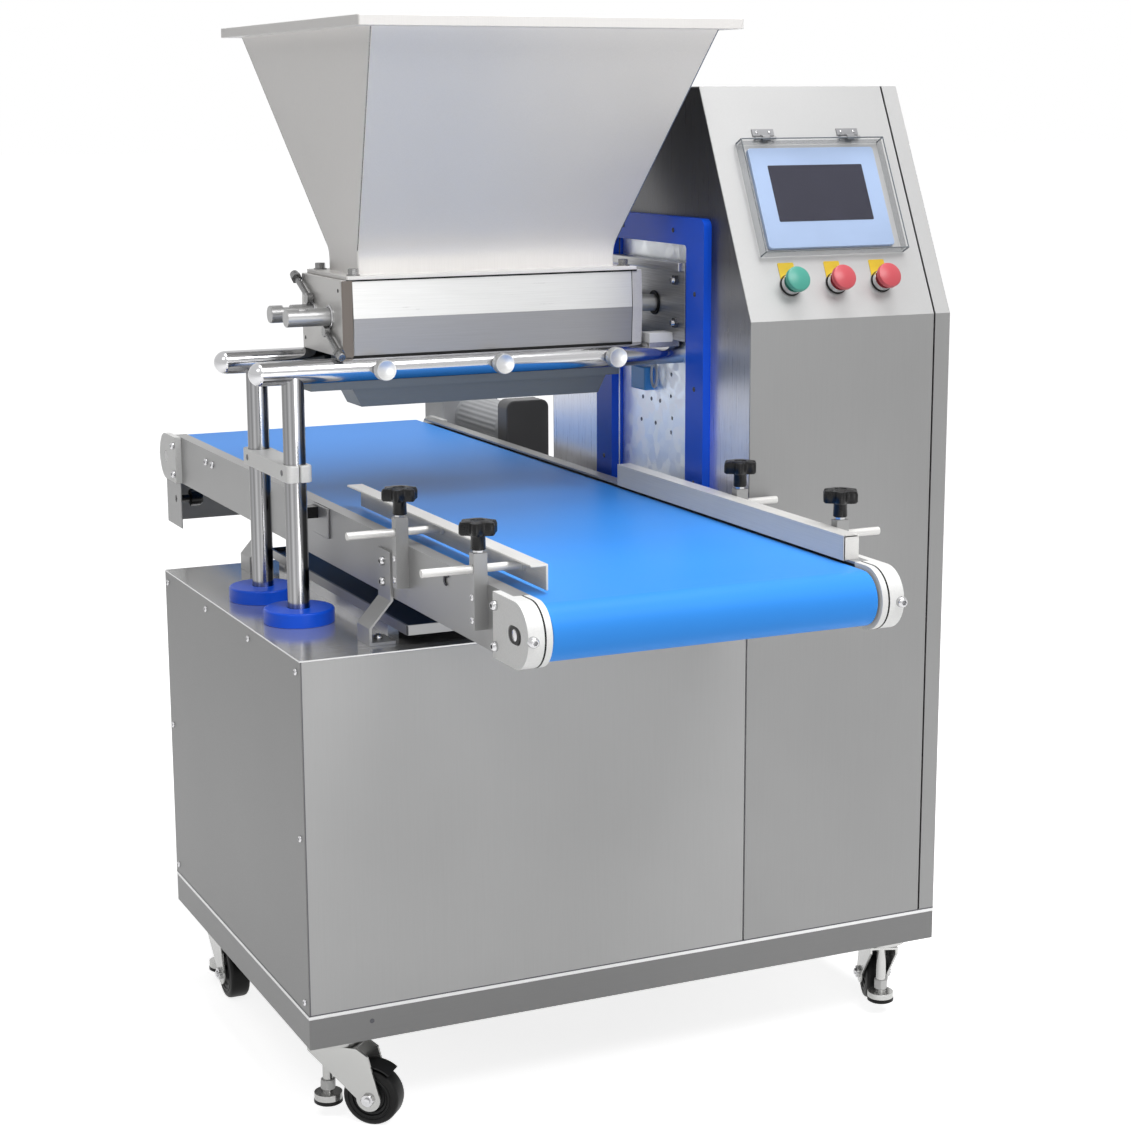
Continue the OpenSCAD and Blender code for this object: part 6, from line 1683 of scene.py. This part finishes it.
class DEPOSITOR_OT_casters(Operator):
    """Make the wheels, hoods, races, nuts and pads of the casters, and dress their forks and plates"""
    bl_idname = "depositor.casters"
    bl_label = "Casters"

    HUB_WALL = ((1.0, 0.87), (1.05, 1.0))
    TYRE_WALL = ((0.72, 1.0), (0.735, 0.94), (0.78, 0.94), (0.795, 1.0), (0.85, 1.0), (0.93, 0.95),
                 (0.98, 0.82), (1.0, 0.62))
    BORE_H, HUB_FACE = 0.98, ((0.42, 0.98), (0.46, 0.8), (0.78, 0.7), (0.86, 0.86), (0.99, 0.9))
    NUT_SIDE, NUT_TOP = 0.8, ((0.86, 1.0), (0.5, 1.0), (0.5, 1.4), (0.4, 1.5))
    HOOD_ARC = (0.9, 2.2)
    RACE = ((0.0, 0.0), (0.8, 0.05), (1.0, 0.3), (1.0, 0.6), (0.6, 0.95), (0.0, 1.0))
    RACE_UP = 0.15
    PAD_IN, PAD_OUT, PAD_STEP, PAD_EDGE = 0.9, 1.02, 0.75, 0.1 * MM
    STEM_NUT_IN, STEM_NUT_SIDE = 0.9, (0.08, 0.92)

    def execute(self, context):
        sizes, edges = context.scene.depositor_casters, context.scene.depositor_edges
        dress(["caster_plates"], edges.block)
        for number in range(1, 5):
            dress([f"caster_fork_{number}"], edges.pressed)
            self.wheel(number, sizes)
            self.fork_fittings(number, sizes)
        return {"FINISHED"}

    def wheel(self, number, sizes):
        body = f"caster_wheel_{number}"
        joint = JOINTS[f"caster_roll_{number}"]
        place = facing(joint["axis"], joint["pos_m"])
        half, hub = sizes.wheel_half, sizes.hub_r
        wall = shares(self.HUB_WALL, hub, half) + shares(self.TYRE_WALL, sizes.wheel_r, half)
        bm = bmesh.new()
        turned(bm, mirrored(wall), place, looped=True)
        piece(f"caster_tyre_{number}", bm, body, SLOT_OF[body], replaces=[body])
        face = [(sizes.bore_r, self.BORE_H * half), *shares(self.HUB_FACE, hub, half)]
        bm = bmesh.new()
        turned(bm, mirrored(face), place, looped=True)
        piece(f"caster_hub_{number}", bm, body, SLOT_OF[body], "fan_cover_black", replaces=[body])

    def fork_fittings(self, number, sizes):
        fork = f"caster_fork_{number}"
        axle = Vector(JOINTS[f"caster_roll_{number}"]["pos_m"])
        across = Vector(JOINTS[f"caster_roll_{number}"]["axis"]).normalized()
        swivel = Vector(JOINTS[f"caster_swivel_{number}"]["pos_m"])
        ahead = Vector((axle.x - swivel.x, axle.y - swivel.y, 0.0)).normalized()
        self.nuts(fork, number, axle, across, sizes)
        self.hood(fork, number, axle, across, ahead, sizes)
        self.races(number, swivel, sizes)
        self.pad(fork, number, swivel - ahead * sizes.pad_back, sizes)

    def nuts(self, fork, number, axle, across, sizes):
        bm = bmesh.new()
        radius, height, nut = sizes.nut_r, sizes.nut_h, sided(sizes.nut_r, HEX)
        profile = [(nut, 0.0), (nut, self.NUT_SIDE * height), *shares(self.NUT_TOP, radius, height)]
        for out in (across, -across):
            turned(bm, profile, facing(out, axle + out * sizes.fork_half), SCREW_STEPS)
        piece(f"caster_nuts_{number}", bm, fork, "fastener_steel")

    def hood(self, fork, number, axle, across, ahead, sizes):
        sections = []
        outer = arc(axle, ahead, Z, sizes.hood_r + sizes.hood_t, *self.HOOD_ARC)
        inner = arc(axle, ahead, Z, sizes.hood_r, *self.HOOD_ARC)
        side = across * sizes.hood_half
        for far, near in zip(outer, inner):
            sections.append([far - side, far + side, near + side, near - side])
        bm = bmesh.new()
        skin(bm, sections)
        piece(f"caster_hood_{number}", bm, fork, SLOT_OF[f"caster_wheel_{number}"], "fan_cover_black")

    def races(self, number, swivel, sizes):
        height = sizes.race_h
        profile = [(sizes.race_r + sizes.race_lip * r, height * h) for r, h in self.RACE]
        bm = bmesh.new()
        turned(bm, profile, Matrix.Translation(swivel + Z * (self.RACE_UP * height)), looped=True)
        piece(f"caster_race_{number}", bm, "frame", SLOT_OF["caster_plates"])

    def pad(self, fork, number, at, sizes):
        place, top = floor_under(at), sizes.pad_z
        inner, outer = self.PAD_IN * sizes.pad_r, self.PAD_OUT * sizes.pad_r
        bm = bmesh.new()
        turned(bm, [(inner, top - sizes.rubber), (outer, top - self.PAD_STEP * sizes.rubber),
                    (outer, top - self.PAD_EDGE), (inner, top)], place)
        piece(f"caster_pad_{number}", bm, fork, SLOT_OF[f"caster_wheel_{number}"])
        bm = bmesh.new()
        nut, neck = sided(sizes.stem_nut_r, HEX), self.STEM_NUT_IN * sizes.stem_nut_r
        low, height = top + sizes.stem_nut_up, sizes.stem_nut_h
        side = [(nut, low + height * h) for h in self.STEM_NUT_SIDE]
        turned(bm, [(neck, low), *side, (neck, low + height)], place, SCREW_STEPS)
        piece(f"caster_stem_nut_{number}", bm, fork, SLOT_OF[fork], "white_plastic")


def area_lamp(name, at, aim, size, watts):
    """A large soft lamp at one point that looks at another."""
    lamp = bpy.data.lights.new(name, "AREA")
    lamp.shape = "DISK"
    lamp.size = size
    lamp.energy = watts
    obj = bpy.data.objects.new(name, lamp)
    obj.location = at
    obj.rotation_euler = (Vector(aim) - Vector(at)).to_track_quat("-Z", "Y").to_euler()
    bpy.context.scene.collection.objects.link(obj)


def seen_directly(tree):
    """1 for what the camera sees directly, in a mirror or through glass, and 0 for other light."""
    path = add(tree, "LightPath").outputs
    shiny = combine(tree, "MAXIMUM", path["Is Camera Ray"], path["Is Glossy Ray"])
    return combine(tree, "MAXIMUM", shiny, path["Is Transmission Ray"])


class DEPOSITOR_OT_stage(Operator):
    """Set the camera, the lamps, the floor and the white surroundings"""
    bl_idname = "depositor.stage"
    bl_label = "Stage"

    AIM = (0.0, -0.1, 0.8)
    LAMPS = (("key", (0.6, -2.9, 4.0), 2.0), ("top", (0.3, -0.3, 4.2), 2.2),
             ("front", (0.1, -4.2, 0.9), 1.8), ("side", (-1.9, -1.7, 3.2), 1.4))
    FLOOR_REACH, FLOOR_ROUGH = 60.0, 0.9

    def execute(self, context):
        scene, stage = context.scene, context.scene.depositor_stage
        scene.view_settings.view_transform = "Standard"
        self.camera(scene, stage)
        self.world(scene, stage)
        self.floor(stage)
        for name, at, size in self.LAMPS:
            area_lamp(name.capitalize() + " lamp", at, self.AIM, size, getattr(stage, name))
        return {"FINISHED"}

    def camera(self, scene, stage):
        camera = bpy.data.cameras.new("Camera")
        camera.lens = stage.lens
        obj = bpy.data.objects.new("Camera", camera)
        turn = (Matrix.Rotation(stage.heading, 4, "Z")
                @ Matrix.Rotation(math.pi / 2 - stage.pitch, 4, "X")
                @ Matrix.Rotation(stage.roll, 4, "Z"))
        obj.matrix_world = Matrix.Translation(stage.camera) @ turn
        scene.collection.objects.link(obj)
        scene.camera = obj

    def world(self, scene, stage):
        world = bpy.data.worlds.new("White surroundings")
        world.use_nodes = True
        tree = world.node_tree
        tree.nodes.clear()
        dim = add(tree, "Background", {"Color": WHITE, "Strength": stage.ambient})
        white = add(tree, "Background", {"Color": WHITE, "Strength": 1.0})
        mix = add(tree, "MixShader", {0: seen_directly(tree), 1: dim.outputs[0], 2: white.outputs[0]})
        tree.links.new(mix.outputs[0], add(tree, "OutputWorld").inputs["Surface"])
        scene.world = world

    def floor(self, stage):
        reach = self.FLOOR_REACH
        bm = bmesh.new()
        bm.faces.new([bm.verts.new((x * reach, y * reach, 0.0)) for x, y in QUARTERS])
        mesh = bpy.data.meshes.new("floor")
        bm.to_mesh(mesh)
        bm.free()
        material, tree, shader = new_finish("pale_floor", Roughness=self.FLOOR_ROUGH, Specular_IOR_Level=0.0,
                                            Emission_Color=WHITE, Base_Color=(*stage.floor, 1.0))
        place = add(tree, "TexCoord").outputs["Object"]
        away = add(tree, "VectorMath", {0: place}, operation="LENGTH").outputs["Value"]
        # Less brightness near the machine is painted shade round its foot; the cast shadow comes from the lamps.
        level = spread(tree, away, stage.floor_lift, 1.0, stage.floor_near, stage.floor_far)
        lift = combine(tree, "MULTIPLY", seen_directly(tree), level)
        tree.links.new(lift, shader.inputs["Emission Strength"])
        mesh.materials.append(material)
        obj = bpy.data.objects.new("floor", mesh)
        bpy.context.scene.collection.objects.link(obj)


OPERATORS = (
    DEPOSITOR_OT_cabinet,
    DEPOSITOR_OT_console,
    DEPOSITOR_OT_screen,
    DEPOSITOR_OT_buttons,
    DEPOSITOR_OT_lift,
    DEPOSITOR_OT_hopper,
    DEPOSITOR_OT_housing,
    DEPOSITOR_OT_rollers,
    DEPOSITOR_OT_bracket,
    DEPOSITOR_OT_conveyor,
    DEPOSITOR_OT_guides,
    DEPOSITOR_OT_tray,
    DEPOSITOR_OT_drive,
    DEPOSITOR_OT_screws,
    DEPOSITOR_OT_casters,
    DEPOSITOR_OT_stage,
)


class DEPOSITOR_PT_panel(Panel):
    """The depositor's pieces, in the order that they are made"""
    bl_idname = "DEPOSITOR_PT_panel"
    bl_label = "Cookie depositor"
    bl_space_type = "VIEW_3D"
    bl_region_type = "UI"
    bl_category = "Depositor"

    def draw(self, context):
        for operator in OPERATORS:
            self.layout.operator(operator.bl_idname)


GROUPS_OF_PROPERTIES = {
    "depositor_colours": DepositorColours,
    "depositor_edges": DepositorEdges,
    "depositor_cabinet": DepositorCabinet,
    "depositor_screen": DepositorScreen,
    "depositor_buttons": DepositorButtons,
    "depositor_hopper": DepositorHopper,
    "depositor_housing": DepositorHousing,
    "depositor_rollers": DepositorRollers,
    "depositor_lift": DepositorLift,
    "depositor_conveyor": DepositorConveyor,
    "depositor_knobs": DepositorKnobs,
    "depositor_drive": DepositorDrive,
    "depositor_casters": DepositorCasters,
    "depositor_stage": DepositorStage,
}
CLASSES = (*GROUPS_OF_PROPERTIES.values(), *OPERATORS, DEPOSITOR_PT_panel)


def register():
    for cls in CLASSES:
        bpy.utils.register_class(cls)
    for name, group in GROUPS_OF_PROPERTIES.items():
        setattr(bpy.types.Scene, name, PointerProperty(type=group))


def unregister():
    for name in GROUPS_OF_PROPERTIES:
        delattr(bpy.types.Scene, name)
    for cls in reversed(CLASSES):
        bpy.utils.unregister_class(cls)


def main():
    register()
    bpy.ops.depositor.cabinet()
    bpy.ops.depositor.console()
    bpy.ops.depositor.screen()
    bpy.ops.depositor.buttons()
    bpy.ops.depositor.lift()
    bpy.ops.depositor.hopper()
    bpy.ops.depositor.housing()
    bpy.ops.depositor.rollers()
    bpy.ops.depositor.bracket()
    bpy.ops.depositor.conveyor()
    bpy.ops.depositor.guides()
    bpy.ops.depositor.tray()
    bpy.ops.depositor.drive()
    bpy.ops.depositor.screws()
    bpy.ops.depositor.casters()
    bpy.ops.depositor.stage()


if __name__ == "__main__":
    main()
